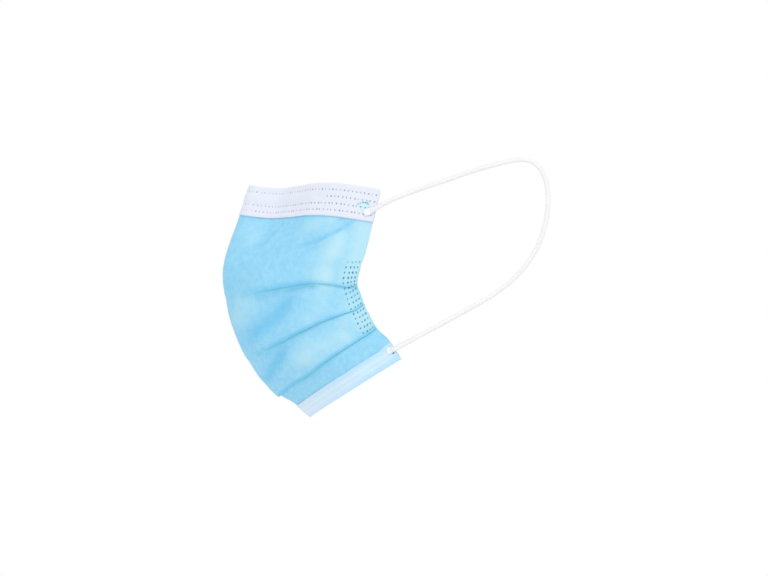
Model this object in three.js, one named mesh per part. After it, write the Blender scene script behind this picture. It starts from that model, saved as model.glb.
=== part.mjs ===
// A pleated three-ply face mask with ear loops, in the form that it takes on a face.
// Millimetres, +Z up. The wearer faces -Y, and +X is the wearer's left.
// The origin is where the nose bridge carries the inside of the top binding.
import * as THREE from 'three';

// Driving sizes of the sheet as worn
const wornDepth = 91; // foremost point of the sheet to its rearmost corner
const wornHeight = 117; // top edge to lower edge, seen from the side
const wornHalfWidth = 46; // middle plane to the side edge, at mouth height

// Cloth, and the air between two layers that touch on the real mask
const clothWall = 1;
const seamGap = 0.3;

// Strips folded over the top and lower edges
const bindingHeight = 18.6;
const bindingPinch = 0.92; // the binding is drawn together over the nose, to this share of its height
const seatDown = 7.74; // top edge to where the nose bridge meets the binding
const hemHeight = 10.5;

// Pleats
const pleatDepth = 9;
const openFacet = 2.4; // middle layer of a pleat that is let out flat
const shortFacet = 1.2; // middle layer where a pleat is only just folded

// Bendable strip in the top binding
const wireLength = 100;
const wireWidth = 4;
const wireThickness = 1;
const wireDown = 6.9; // top edge to the middle of the strip

// Elastic cord and its flattened, welded ends
const cordDiameter = 2.5;
const cordSides = 8;
const cordSteps = 44;
const padWidth = 4.4;
const padThickness = 0.9;
const padSides = 10;

// How finely the faceted solids are cut
const stationsPerHalf = 14;
const stationCrowding = 1.25; // above 1, stations stand closer over the nose and chin
const rowSamples = 16; // samples between two rows of the section table
const arcCuts = 3;
const flapCuts = 4;

// Sections of the worn sheet from the top edge to the lower edge, seen from the side.
// Back is a share of wornDepth, width of wornHalfWidth, and down, arch and dip of wornHeight. Arch lifts the row
// over the cheek, dip lowers it beside the nose, and nose and chin say how far the row takes those two plans.
const rows = [
  { name: 'top', midBack: 0.155, midDown: 0.0, sideBack: 0.889, sideDown: 0.015, width: 0.98, arch: 0.022, dip: 0.0115, nose: 1, chin: 0 },
  { name: 'binding', midBack: 0.103, midDown: 0.131, sideBack: 0.84, sideDown: 0.162, width: 0.98, arch: 0.023, dip: 0.007, nose: 0.9, chin: 0 },
  { name: 'nostril', midBack: 0.035, midDown: 0.278, sideBack: 0.8, sideDown: 0.289, width: 1.0, arch: 0.02, dip: 0, nose: 0.45, chin: 0 },
  { name: 'lip', midBack: 0.004, midDown: 0.389, sideBack: 0.762, sideDown: 0.376, width: 1.0, arch: 0.026, dip: 0, nose: 0.12, chin: 0 },
  { name: 'pleat1', midBack: 0.013, midDown: 0.474, sideBack: 0.751, sideDown: 0.433, width: 1.0, arch: 0.032, dip: 0, nose: 0, chin: 0 },
  { name: 'mouth', midBack: 0.048, midDown: 0.601, sideBack: 0.766, sideDown: 0.47, width: 1.02, arch: 0.014, dip: 0, nose: 0, chin: 0.1 },
  { name: 'pleat2', midBack: 0.136, midDown: 0.744, sideBack: 0.786, sideDown: 0.512, width: 1.04, arch: 0, dip: 0, nose: 0, chin: 0.35 },
  { name: 'pleat3', midBack: 0.296, midDown: 0.903, sideBack: 0.86, sideDown: 0.623, width: 1.1, arch: 0, dip: 0, nose: 0, chin: 0.8 },
  { name: 'hem', midBack: 0.408, midDown: 0.948, sideBack: 0.927, sideDown: 0.673, width: 1.13, arch: 0, dip: 0, nose: 0, chin: 0.95 },
  { name: 'lower', midBack: 0.5, midDown: 1.002, sideBack: 1.0, sideDown: 0.759, width: 1.16, arch: 0, dip: 0, nose: 0, chin: 1 },
];

// Half plans of a row seen from above, from the middle plane to the side edge.
// Side is a share of the row's half width, back a share of its run from the middle plane to the side edge.
const plan = [
  { noseSide: 0, noseBack: 0, mouthSide: 0, mouthBack: 0, chinSide: 0, chinBack: 0 },
  { noseSide: 0.116, noseBack: 0.026, mouthSide: 0.13, mouthBack: 0.009, chinSide: 0.108, chinBack: 0.006 },
  { noseSide: 0.222, noseBack: 0.245, mouthSide: 0.418, mouthBack: 0.14, chinSide: 0.383, chinBack: 0.076 },
  { noseSide: 0.456, noseBack: 0.38, mouthSide: 0.615, mouthBack: 0.3, chinSide: 0.6, chinBack: 0.2 },
  { noseSide: 0.733, noseBack: 0.527, mouthSide: 0.791, mouthBack: 0.503, chinSide: 0.8, chinBack: 0.4 },
  { noseSide: 0.9, noseBack: 0.697, mouthSide: 0.901, mouthBack: 0.691, chinSide: 0.92, chinBack: 0.62 },
  { noseSide: 1, noseBack: 1, mouthSide: 1, mouthBack: 1, chinSide: 1, chinBack: 1 },
];

// Pleats. A share of 1 is folded to the whole pleat depth, 0 is just folded, and -1 is let out flat.
// The share runs from atMiddle, up to the station inner, to atSide, from the station outer on.
const pleats = [
  { row: 'pleat1', atMiddle: -0.97, atSide: 1, inner: 0.15, outer: 1.0, runCuts: 7 },
  { row: 'pleat2', atMiddle: -0.97, atSide: 1, inner: 0.05, outer: 0.85, runCuts: 5 },
  { row: 'pleat3', atMiddle: 0.55, atSide: 1, inner: 0.0, outer: 0.9, runCuts: 5 },
];

// Where the cord's ends are welded: the toe and heel of each pad, measured from the edge that it is near
// and, for the toe, in from the side edge. The cord leaves towards that end of its route.
const padSeats = [
  { name: 'top', edge: 'top', toeIn: 5.8, toeOff: 13.8, heelOff: 10.3, routeEnd: 0 },
  { name: 'low', edge: 'lower', toeIn: 5.5, toeOff: 7.4, heelOff: 5.4, routeEnd: -1 },
];

// Route of the near cord between its two ends, chosen by hand.
const loopRoute = [
  [50.5, 72.5, 0.8],
  [52.0, 81.0, 4.2],
  [53.8, 91.5, 7.9],
  [55.5, 102.5, 11.6],
  [57.0, 113.5, 15.4],
  [58.3, 124.5, 18.6],
  [59.2, 134.0, 20.8],
  [59.8, 141.3, 21.2],
  [60.2, 147.3, 18.2],
  [60.5, 151.3, 11.0],
  [60.6, 152.6, 1.5],
  [60.6, 151.6, -9.5],
  [60.5, 148.4, -20.5],
  [60.3, 142.6, -30.9],
  [60.0, 134.0, -40.5],
  [59.6, 122.5, -49.0],
  [59.0, 108.0, -57.3],
  [58.2, 92.5, -65.8],
];

// Sizes that follow from those above
const layerPitch = clothWall + seamGap;
const foldRadius = layerPitch / 2; // of the cloth's middle, where it doubles back
const bandRadius = clothWall + seamGap; // of a strip's middle, where it folds over the sheet's edge
const bandFace = bandRadius + clothWall / 2; // outer face of a strip, from the sheet's middle
const panelTop = wireDown + wireWidth / 2 + seamGap;
const rampLead = 2; // the sheet stays level this far past the binding's edge

const smooth = (low, high, x) => THREE.MathUtils.smoothstep(x, low, high);
const mix = THREE.MathUtils.lerp;
const rowIndex = (name) => rows.findIndex((row) => row.name === name);

// One row of the sheet as a curve from the right side edge to the left one.
function rowCurve(row) {
  const middle = new THREE.Vector3(0, row.midBack * wornDepth, -row.midDown * wornHeight);
  const corner = new THREE.Vector3(0, row.sideBack * wornDepth, -row.sideDown * wornHeight);
  const run = corner.clone().sub(middle);
  const up = new THREE.Vector3(0, -run.z, run.y).normalize();
  const mouth = 1 - row.nose - row.chin;
  const half = plan.map((p) => {
    const side = row.nose * p.noseSide + mouth * p.mouthSide + row.chin * p.chinSide;
    const back = row.nose * p.noseBack + mouth * p.mouthBack + row.chin * p.chinBack;
    const lift = row.arch * Math.sin(Math.PI * back ** 1.5) ** 2;
    const sag = row.dip * Math.sin(2 * Math.PI * Math.min(back, 0.5)) ** 2;
    const point = middle.clone().addScaledVector(run, back).addScaledVector(up, (lift - sag) * wornHeight);
    point.x = side * row.width * wornHalfWidth;
    return point;
  });
  const mirrored = half.slice(1).reverse().map((p) => new THREE.Vector3(-p.x, p.y, p.z));
  return new THREE.CatmullRomCurve3([...mirrored, ...half]);
}

const rowCurves = rows.map(rowCurve);
const topHalfLength = rowCurves[0].getLength() / 2;

// Points down the sheet at one station, across being -1 at the right side edge and 1 at the left one.
function fall(across) {
  const curve = new THREE.CatmullRomCurve3(rowCurves.map((row) => row.getPointAt((across + 1) / 2)));
  return curve.getPoints((rows.length - 1) * rowSamples);
}

// The sheet's section at one station. It places a point at a length down the sheet and a height off it.
class Section {
  constructor(across) {
    const nudge = 0.01;
    this.across = across;
    this.points = fall(across);
    const left = fall(Math.min(1, across + nudge));
    const right = fall(Math.max(-1, across - nudge));
    this.normals = this.points.map((_, i) => {
      const down = this.points[Math.min(i + 1, this.points.length - 1)].clone().sub(this.points[Math.max(i - 1, 0)]);
      return down.cross(left[i].clone().sub(right[i])).normalize();
    });
    this.lengths = [0];
    for (let i = 1; i < this.points.length; i += 1) {
      this.lengths.push(this.lengths[i - 1] + this.points[i].distanceTo(this.points[i - 1]));
    }
    this.total = this.lengths.at(-1);
  }

  // Length down the sheet from the top edge to a named row.
  lengthTo(name) {
    return this.lengths[rowIndex(name) * rowSamples];
  }

  place(length, height) {
    const last = this.points.length - 1;
    let i = 1;
    while (i < last && this.lengths[i] < length) i += 1;
    const share = (length - this.lengths[i - 1]) / (this.lengths[i] - this.lengths[i - 1]);
    const normal = this.normals[i - 1].clone().lerp(this.normals[i], THREE.MathUtils.clamp(share, 0, 1)).normalize();
    return this.points[i - 1].clone().lerp(this.points[i], share).addScaledVector(normal, height);
  }
}

const stations = [];
for (let i = -stationsPerHalf; i <= stationsPerHalf; i += 1) {
  stations.push(Math.sign(i) * (Math.abs(i) / stationsPerHalf) ** stationCrowding);
}
const sections = stations.map((across) => new Section(across));

// The middle line of a strip of cloth, as (length, height) points, gets its wall as a closed outline.
function thicken(line, wall) {
  const side = (sign) =>
    line.map((point, i) => {
      const before = line[Math.max(i - 1, 0)];
      const after = line[Math.min(i + 1, line.length - 1)];
      const ahead = after.clone().sub(before).normalize();
      return new THREE.Vector2(point.x - (sign * ahead.y * wall) / 2, point.y + (sign * ahead.x * wall) / 2);
    });
  return [...side(1), ...side(-1).reverse()];
}

// Points on a quarter, half or other arc, from its centre.
function arc(centre, radius, from, to, cuts) {
  const points = [];
  for (let i = 0; i <= cuts; i += 1) {
    const angle = mix(from, to, i / cuts);
    points.push(new THREE.Vector2(centre.x + radius * Math.cos(angle), centre.y + radius * Math.sin(angle)));
  }
  return points;
}

// Evenly spaced points from one to the other, without the first.
function straight(from, to, cuts) {
  const points = [];
  for (let i = 1; i <= cuts; i += 1) points.push(from.clone().lerp(to, i / cuts));
  return points;
}

// How a pleat lies at one station: its turn, the length of its middle layer and its drop to the next layer.
function foldAt(pleat, across) {
  const share = mix(pleat.atMiddle, pleat.atSide, smooth(pleat.inner, pleat.outer, Math.abs(across)));
  const turn = Math.PI * (1 + Math.min(share, 0));
  const middle = mix(shortFacet, share >= 0 ? pleatDepth : openFacet, Math.abs(share));
  const drop = 2 * foldRadius * (1 - Math.cos(turn)) + middle * Math.sin(turn);
  return { turn, middle, drop };
}

// The pleat's outer bend, middle layer and inner bend, starting at its origin and heading down the sheet.
function foldLine({ turn, middle }) {
  const down = new THREE.Vector2(Math.cos(turn), -Math.sin(turn));
  const outer = arc(new THREE.Vector2(0, -foldRadius), foldRadius, Math.PI / 2, Math.PI / 2 - turn, arcCuts);
  const crease = outer.at(-1).clone().addScaledVector(down, middle);
  const centre = crease.clone().add(new THREE.Vector2(Math.sin(turn), Math.cos(turn)).multiplyScalar(foldRadius));
  const inner = arc(centre, foldRadius, -Math.PI / 2 - turn, -Math.PI / 2, arcCuts);
  return [...outer, outer.at(-1).clone().lerp(crease, 0.5), ...inner];
}

// The pleated sheet's middle line at one station.
function panelLine(section) {
  const top = new THREE.Vector2(panelTop, 0);
  let at = new THREE.Vector2(section.lengthTo('binding') + rampLead, 0);
  const line = [top, ...straight(top, at, 3)];
  for (const pleat of pleats) {
    const fold = foldAt(pleat, section.across);
    const reach = foldRadius * Math.sin(Math.min(fold.turn, Math.PI / 2));
    const start = new THREE.Vector2(section.lengthTo(pleat.row) - reach, fold.drop / 2);
    const slope = start.clone().sub(at).angle();
    line.push(...straight(at, start, pleat.runCuts).slice(0, -1));
    const lean = (p) => p.clone().rotateAround(new THREE.Vector2(), slope).add(start);
    const folded = foldLine(fold);
    const end = folded.at(-1);
    const clear = new THREE.Vector2(Math.max(reach, end.x) + foldRadius, end.y);
    at = lean(clear);
    line.push(...folded.map(lean), lean(end.clone().lerp(clear, 0.5)), at);
  }
  const hemEdge = new THREE.Vector2(section.total - hemHeight - seamGap, 0);
  const end = new THREE.Vector2(section.total - bandFace, 0);
  line.push(...straight(at, hemEdge, 2), ...straight(hemEdge, end, 2));
  return line;
}

// A strip folded over the sheet's edge: its front flap, its fold and its back flap.
function foldedStrip(edge, inward, height) {
  const centre = new THREE.Vector2(edge + inward * bandFace, 0);
  const front = new THREE.Vector2(edge + inward * height, bandRadius);
  const back = new THREE.Vector2(edge + inward * height, -bandRadius);
  const fold = arc(centre, bandRadius, Math.PI / 2, Math.PI / 2 + inward * Math.PI, 2 * arcCuts);
  const flap = (from, to) => straight(from, to, flapCuts);
  return [front, ...flap(front, fold[0]), ...fold.slice(1), ...flap(fold.at(-1), back)];
}

// The binding is lower over the nose, where the wire pinches it.
function bindingHeightAt(across) {
  return bindingHeight * mix(bindingPinch, 1, smooth(0, 0.5, Math.abs(across)));
}

// Turns a list of rings with equal counts into one closed solid. The cap triangles index one ring.
// Each quad is cut along its shorter diagonal, so that the left half mirrors the right one.
function loft(rings, cap) {
  const count = rings[0].length;
  const points = rings.flat();
  const index = [];
  for (let r = 0; r + 1 < rings.length; r += 1) {
    for (let i = 0; i < count; i += 1) {
      const [a, b] = [r * count + i, r * count + ((i + 1) % count)];
      const [c, d] = [a + count, b + count];
      if (points[b].distanceTo(points[c]) < points[a].distanceTo(points[d])) index.push(a, b, c, b, d, c);
      else index.push(a, b, d, a, d, c);
    }
  }
  const end = (rings.length - 1) * count;
  for (const [a, b, c] of cap) {
    index.push(a, c, b);
    index.push(end + a, end + b, end + c);
  }
  const sixVolumes = index.reduce((sum, _, i) => {
    if (i % 3) return sum;
    const [a, b, c] = [points[index[i]], points[index[i + 1]], points[index[i + 2]]];
    return sum + a.dot(b.clone().cross(c));
  }, 0);
  if (sixVolumes < 0) index.reverse();
  const geometry = new THREE.BufferGeometry();
  geometry.setAttribute('position', new THREE.Float32BufferAttribute(points.flatMap((p) => p.toArray()), 3));
  geometry.setIndex(index);
  geometry.computeVertexNormals();
  return geometry;
}

// A band of cloth lofted across the sheet: lineAt gives its middle line at a section.
function clothBand(lineAt, wall, across = sections) {
  const outlines = across.map((section) => thicken(lineAt(section), wall));
  const rings = outlines.map((outline, i) => outline.map((p) => across[i].place(p.x, p.y)));
  return loft(rings, stripCap(outlines[0].length));
}

// Cap of a thickened line: quads across the wall, from one end of the line to the other.
function stripCap(count) {
  const triangles = [];
  for (let i = 0; i + 1 < count / 2; i += 1) {
    const far = count - 1 - i;
    triangles.push([i, i + 1, far], [i + 1, far - 1, far]);
  }
  return triangles;
}

function fan(count) {
  return Array.from({ length: count - 2 }, (_, i) => [0, i + 1, i + 2]);
}

function wireGeometry() {
  const reach = wireLength / 2 / topHalfLength;
  const inside = stations.filter((across) => Math.abs(across) < reach - 0.01);
  const along = [-reach, ...inside, reach].map((across) => new Section(across));
  const top = new THREE.Vector2(wireDown - wireWidth / 2, 0);
  const line = () => [top, new THREE.Vector2(wireDown + wireWidth / 2, 0)];
  return clothBand(line, wireThickness, along);
}

// Sections of a cord's flattened end, from toe to heel. Along is a share of its length; width and thickness
// are in millimetres, and it lies on the strip's outer face.
const padSections = [
  { along: 0, width: 0.55 * padWidth, thickness: 0.7 * padThickness },
  { along: 0.1, width: 0.9 * padWidth, thickness: padThickness },
  { along: 0.35, width: padWidth, thickness: padThickness },
  { along: 0.6, width: 0.95 * padWidth, thickness: padThickness },
  { along: 0.85, width: mix(cordDiameter, padWidth, 0.35), thickness: mix(cordDiameter, padThickness, 0.45) },
  { along: 1, width: cordDiameter, thickness: cordDiameter },
];

// The middle of a pad's sections, on the outer face of its strip, and that face's outward direction.
// Side is 1 on the wearer's left and -1 on the right.
function padFrame(seat, side) {
  const placeAt = (across, off, height) => {
    const section = new Section(side * across);
    return section.place(seat.edge === 'top' ? off : section.total - off, height);
  };
  const toeAcross = 1 - seat.toeIn / topHalfLength;
  const middles = padSections.map(({ along, thickness }) => {
    const across = mix(toeAcross, 1, along);
    const off = mix(seat.toeOff, seat.heelOff, along);
    return placeAt(across, off, bandFace + seamGap + thickness / 2);
  });
  const foot = placeAt(toeAcross, seat.toeOff, 0);
  return { middles, normal: middles[0].clone().sub(foot).normalize() };
}

// The pad lies on its strip, and its last section faces the way that the cord leaves.
function padGeometry(seat, side) {
  const { middles, normal } = padFrame(seat, side);
  const heel = middles.at(-1);
  const leave = new THREE.Vector3(...loopRoute.at(seat.routeEnd));
  const outward = new THREE.Vector3(side * leave.x, leave.y, leave.z).add(seatPoint).sub(heel).normalize();
  const lie = heel.clone().sub(middles[0]).normalize();
  const rings = padSections.map(({ along, width, thickness }, k) => {
    const ahead = lie.clone().lerp(outward, along ** 2);
    const wide = ahead.clone().cross(normal).normalize();
    const high = wide.clone().cross(ahead).normalize();
    return Array.from({ length: padSides }, (_, i) => {
      const angle = (2 * Math.PI * i) / padSides;
      return middles[k]
        .clone()
        .addScaledVector(wide, (width / 2) * Math.cos(angle))
        .addScaledVector(high, (thickness / 2) * Math.sin(angle));
    });
  });
  return loft(rings, fan(padSides));
}

// The whole route of one cord, from heel to heel, a seam's gap short of each pad.
function loopCurve(side) {
  const [top, low] = padSeats.map((seat) => padFrame(seat, side).middles);
  const middle = loopRoute.map(([x, y, z]) => new THREE.Vector3(side * x, y, z).add(seatPoint));
  const leave = (ends, towards) => {
    const heel = ends.at(-1);
    return heel.clone().addScaledVector(towards.clone().sub(heel).normalize(), seamGap);
  };
  return new THREE.CatmullRomCurve3([leave(top, middle[0]), ...middle, leave(low, middle.at(-1))]);
}

function cordGeometry(side) {
  const section = new THREE.Shape();
  for (let i = 0; i < cordSides; i += 1) {
    const angle = (2 * Math.PI * (i + 0.5)) / cordSides;
    const [x, y] = [(cordDiameter / 2) * Math.cos(angle), (cordDiameter / 2) * Math.sin(angle)];
    if (i) section.lineTo(x, y);
    else section.moveTo(x, y);
  }
  section.closePath();
  return new THREE.ExtrudeGeometry(section, { steps: cordSteps, extrudePath: loopCurve(side) });
}

// The nose bridge meets the inner face of the binding near the middle of its height.
const noseSection = new Section(0);
const seatPoint = noseSection.place(seatDown, -bandFace);

const blueCloth = new THREE.MeshStandardMaterial({ color: 0x9fd8f4, roughness: 0.85, metalness: 0 });
const whiteCloth = new THREE.MeshStandardMaterial({ color: 0xe9ecf7, roughness: 0.85, metalness: 0 });
const paleCloth = new THREE.MeshStandardMaterial({ color: 0xc4e0f7, roughness: 0.85, metalness: 0 });
const elastic = new THREE.MeshStandardMaterial({ color: 0xf4f4f3, roughness: 0.7, metalness: 0 });
const wireCoat = new THREE.MeshStandardMaterial({ color: 0xf0f0ee, roughness: 0.5, metalness: 0 });

const mask = new THREE.Group();

function add(name, geometry, material) {
  const mesh = new THREE.Mesh(geometry, material);
  mesh.name = name;
  mask.add(mesh);
}

add('pleated_panel', clothBand(panelLine, clothWall), blueCloth);
add('nose_binding', clothBand((s) => foldedStrip(0, 1, bindingHeightAt(s.across)), clothWall), whiteCloth);
add('nose_wire', wireGeometry(), wireCoat);
add('chin_hem', clothBand((s) => foldedStrip(s.total, -1, hemHeight), clothWall), paleCloth);

for (const [word, side] of [['left', 1], ['right', -1]]) {
  add(`ear_loop_${word}`, cordGeometry(side), elastic);
  for (const seat of padSeats) add(`loop_end_${seat.name}_${word}`, padGeometry(seat, side), elastic);
}

mask.position.copy(seatPoint).negate();

export default mask;
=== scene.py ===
"""A pleated face mask in the form that it takes on a face: fine cloth, weld marks and elastic cords.

Everything is in metres in the row's own frame: +Z up, the wearer faces -Y, and +X is the wearer's left. The
cloth follows the same table of sections as the solids, so it lies where they do.
"""
import logging
import math
from dataclasses import dataclass, field
from enum import Enum

import bpy
import numpy as np
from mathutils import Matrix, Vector
from mathutils.bvhtree import BVHTree


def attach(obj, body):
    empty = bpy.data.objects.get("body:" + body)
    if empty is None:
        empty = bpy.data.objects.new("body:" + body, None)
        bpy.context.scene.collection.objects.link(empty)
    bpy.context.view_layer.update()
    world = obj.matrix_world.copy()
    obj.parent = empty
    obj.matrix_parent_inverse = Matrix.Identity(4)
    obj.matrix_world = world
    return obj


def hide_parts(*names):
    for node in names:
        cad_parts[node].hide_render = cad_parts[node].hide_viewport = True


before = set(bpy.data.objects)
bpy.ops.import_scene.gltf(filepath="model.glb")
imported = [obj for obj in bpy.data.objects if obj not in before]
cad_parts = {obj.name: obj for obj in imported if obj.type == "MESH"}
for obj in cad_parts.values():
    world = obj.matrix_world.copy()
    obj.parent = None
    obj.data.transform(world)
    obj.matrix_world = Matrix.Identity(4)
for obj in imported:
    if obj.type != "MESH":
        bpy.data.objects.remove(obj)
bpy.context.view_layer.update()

log = logging.getLogger("mask")

Colour = tuple[float, float, float]

MM = 0.001
BODY = "root"
CLOTH_MAP = "cloth"
SHEET_RISE = 0.75 * MM  # the sheet's middle stands this far off the plain surface
FULL_SHADE = 1.2 * MM  # a crease this deep takes the whole shade


class Side(Enum):
    """The two halves of the mask."""

    LEFT = 1
    RIGHT = -1


class Face(Enum):
    """The two faces of a sheet: away from the wearer and against the skin."""

    OUTER = 1
    INNER = -1


@dataclass(frozen=True)
class Row:
    """One section of the worn sheet, in shares of the sheet's depth, height and half width.

    Arch lifts the row over the cheek, and dip lowers it beside the nose. Nose and chin say how far the row
    takes those two plans.
    """

    name: str
    mid_back: float
    mid_down: float
    side_back: float
    side_down: float
    width: float
    arch: float
    dip: float
    nose: float
    chin: float


ROWS = (
    Row("top", 0.155, 0.0, 0.889, 0.015, 0.98, 0.022, 0.0115, 1, 0),
    Row("binding", 0.103, 0.131, 0.84, 0.162, 0.98, 0.023, 0.007, 0.9, 0),
    Row("nostril", 0.035, 0.278, 0.8, 0.289, 1.0, 0.02, 0, 0.45, 0),
    Row("lip", 0.004, 0.389, 0.762, 0.376, 1.0, 0.026, 0, 0.12, 0),
    Row("pleat1", 0.013, 0.474, 0.751, 0.433, 1.0, 0.032, 0, 0, 0),
    Row("mouth", 0.048, 0.601, 0.766, 0.47, 1.02, 0.014, 0, 0, 0.1),
    Row("pleat2", 0.136, 0.744, 0.786, 0.512, 1.04, 0, 0, 0, 0.35),
    Row("pleat3", 0.296, 0.903, 0.86, 0.623, 1.1, 0, 0, 0, 0.8),
    Row("hem", 0.408, 0.948, 0.927, 0.673, 1.13, 0, 0, 0, 0.95),
    Row("lower", 0.5, 1.002, 1.0, 0.759, 1.16, 0, 0, 0, 1),
)

# Half plans of a row seen from above. Each pair is a share of the half width and of the run back, and the
# three pairs of a line are the plans over the nose, the mouth and the chin.
PLAN = (
    ((0, 0), (0, 0), (0, 0)),
    ((0.116, 0.026), (0.13, 0.009), (0.108, 0.006)),
    ((0.222, 0.245), (0.418, 0.14), (0.383, 0.076)),
    ((0.456, 0.38), (0.615, 0.3), (0.6, 0.2)),
    ((0.733, 0.527), (0.791, 0.503), (0.8, 0.4)),
    ((0.9, 0.697), (0.901, 0.691), (0.92, 0.62)),
    ((1, 1), (1, 1), (1, 1)),
)


def smooth(low: float, high: float, value: np.ndarray | float) -> np.ndarray:
    """Eases from 0 at low to 1 at high."""
    share = np.clip((np.asarray(value, float) - low) / (high - low), 0, 1)
    return share * share * (3 - 2 * share)


def hump(off: np.ndarray, width: float | np.ndarray) -> np.ndarray:
    """A rounded hump: 1 where off is 0, and 0.37 at one width from there."""
    return np.exp(-((off / width) ** 2))


def unit(vectors: np.ndarray) -> np.ndarray:
    """Scales each vector to a length of 1."""
    return vectors / np.linalg.norm(vectors, axis=-1, keepdims=True)


def spline(points: np.ndarray, params: np.ndarray) -> np.ndarray:
    """Follows a centripetal Catmull-Rom curve.

    Args:
        points: the points that it passes through, with any leading axes, then (count, 3).
        params: places on it from 0 to 1, spread evenly over its spans.

    Returns:
        The points at those places, with the same leading axes.
    """
    first = 2 * points[..., :1, :] - points[..., 1:2, :]
    last = 2 * points[..., -1:, :] - points[..., -2:-1, :]
    padded = np.concatenate([first, points, last], axis=-2)
    place = params * (points.shape[-2] - 1)
    span = np.minimum(place.astype(int), points.shape[-2] - 2)
    t = (place - span)[:, None]
    p0, p1, p2, p3 = (padded[..., span + k, :] for k in range(4))
    g0, g1, g2 = (
        np.sqrt(np.maximum(np.linalg.norm(b - a, axis=-1, keepdims=True), 1e-9))
        for a, b in ((p0, p1), (p1, p2), (p2, p3))
    )
    start = ((p1 - p0) / g0 - (p2 - p0) / (g0 + g1) + (p2 - p1) / g1) * g1
    end = ((p2 - p1) / g1 - (p3 - p1) / (g1 + g2) + (p3 - p2) / g2) * g1
    square = 3 * (p2 - p1) - 2 * start - end
    cube = 2 * (p1 - p2) + start + end
    return p1 + t * (start + t * (square + t * cube))


def lengths_along(points: np.ndarray) -> np.ndarray:
    """The running length at each point of a line, for any leading axes."""
    steps = np.linalg.norm(np.diff(points, axis=-2), axis=-1)
    return np.concatenate([np.zeros((*steps.shape[:-1], 1)), np.cumsum(steps, axis=-1)], axis=-1)


def at_lengths(line: np.ndarray, lengths: np.ndarray, wanted: np.ndarray | float) -> np.ndarray:
    """The points of a line, or the vectors along it, where its running length is as wanted."""
    return np.stack([np.interp(wanted, lengths, line[:, k]) for k in range(3)], axis=-1)


def value_noise(x: np.ndarray, y: np.ndarray, cell: float, seed: int) -> np.ndarray:
    """Smooth noise between -1 and 1.

    Args:
        x: first coordinate, in metres.
        y: second coordinate, in metres.
        cell: size of one bump, in metres.
        seed: picks the pattern.

    Returns:
        The noise at each place.
    """
    grid = np.random.default_rng(seed).uniform(-1, 1, (128, 128))
    u, v = x / cell + 64, y / cell + 32
    i, j = np.floor(u).astype(int), np.floor(v).astype(int)
    a, b = smooth(0, 1, u - i), smooth(0, 1, v - j)
    corner = {(p, q): grid[(i + p) % 128, (j + q) % 128] for p in (0, 1) for q in (0, 1)}
    near = corner[0, 0] * (1 - a) + corner[1, 0] * a
    far = corner[0, 1] * (1 - a) + corner[1, 1] * a
    return near * (1 - b) + far * b


@dataclass(frozen=True)
class Crease:
    """A drag fold pressed into the cloth.

    Start and end are (round, down) lengths in metres: round the sheet from its middle plane, with + on the
    wearer's left, and down it from the top edge. Bow is how far its middle swings to the right as it runs
    down. Depth is that of the valley, or of a swelling where it is under 0, and ridge is the share of it
    that stands up beside the valley, on that same side.
    """

    start: tuple[float, float]
    end: tuple[float, float]
    bow: float
    width: float
    depth: float
    ridge: float = 0.0

    def height(self, around: np.ndarray, down: np.ndarray) -> np.ndarray:
        """How far the cloth is pushed out at each place, in metres."""
        valley, beside = self._shares(around, down)
        return self.depth * (self.ridge * beside - valley)

    def shade(self, around: np.ndarray, down: np.ndarray) -> np.ndarray:
        """How much painted shade it lays at each place, from 1 in a deep valley to -1, a painted highlight, on
        a high swelling.
        """
        return min(max(self.depth / FULL_SHADE, -1), 1) * self._shares(around, down)[0]

    def _shares(self, around: np.ndarray, down: np.ndarray) -> tuple[np.ndarray, np.ndarray]:
        """Works out the valley and the ridge beside it, which fade out towards both ends.

        Args:
            around: lengths round the sheet.
            down: lengths down it.

        Returns:
            The share of each at each place.
        """
        run = np.subtract(self.end, self.start)
        reach = float(np.hypot(*run))
        ahead = run / reach
        x, y = around - self.start[0], down - self.start[1]
        along = (x * ahead[0] + y * ahead[1]) / reach
        off = x * ahead[1] - y * ahead[0] - self.bow * 4 * along * (1 - along)
        fade = smooth(0, 0.25, along) * (1 - smooth(0.6, 1, along))
        return fade * hump(off, self.width), fade * hump(off - 1.8 * self.width, 1.2 * self.width)


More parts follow.
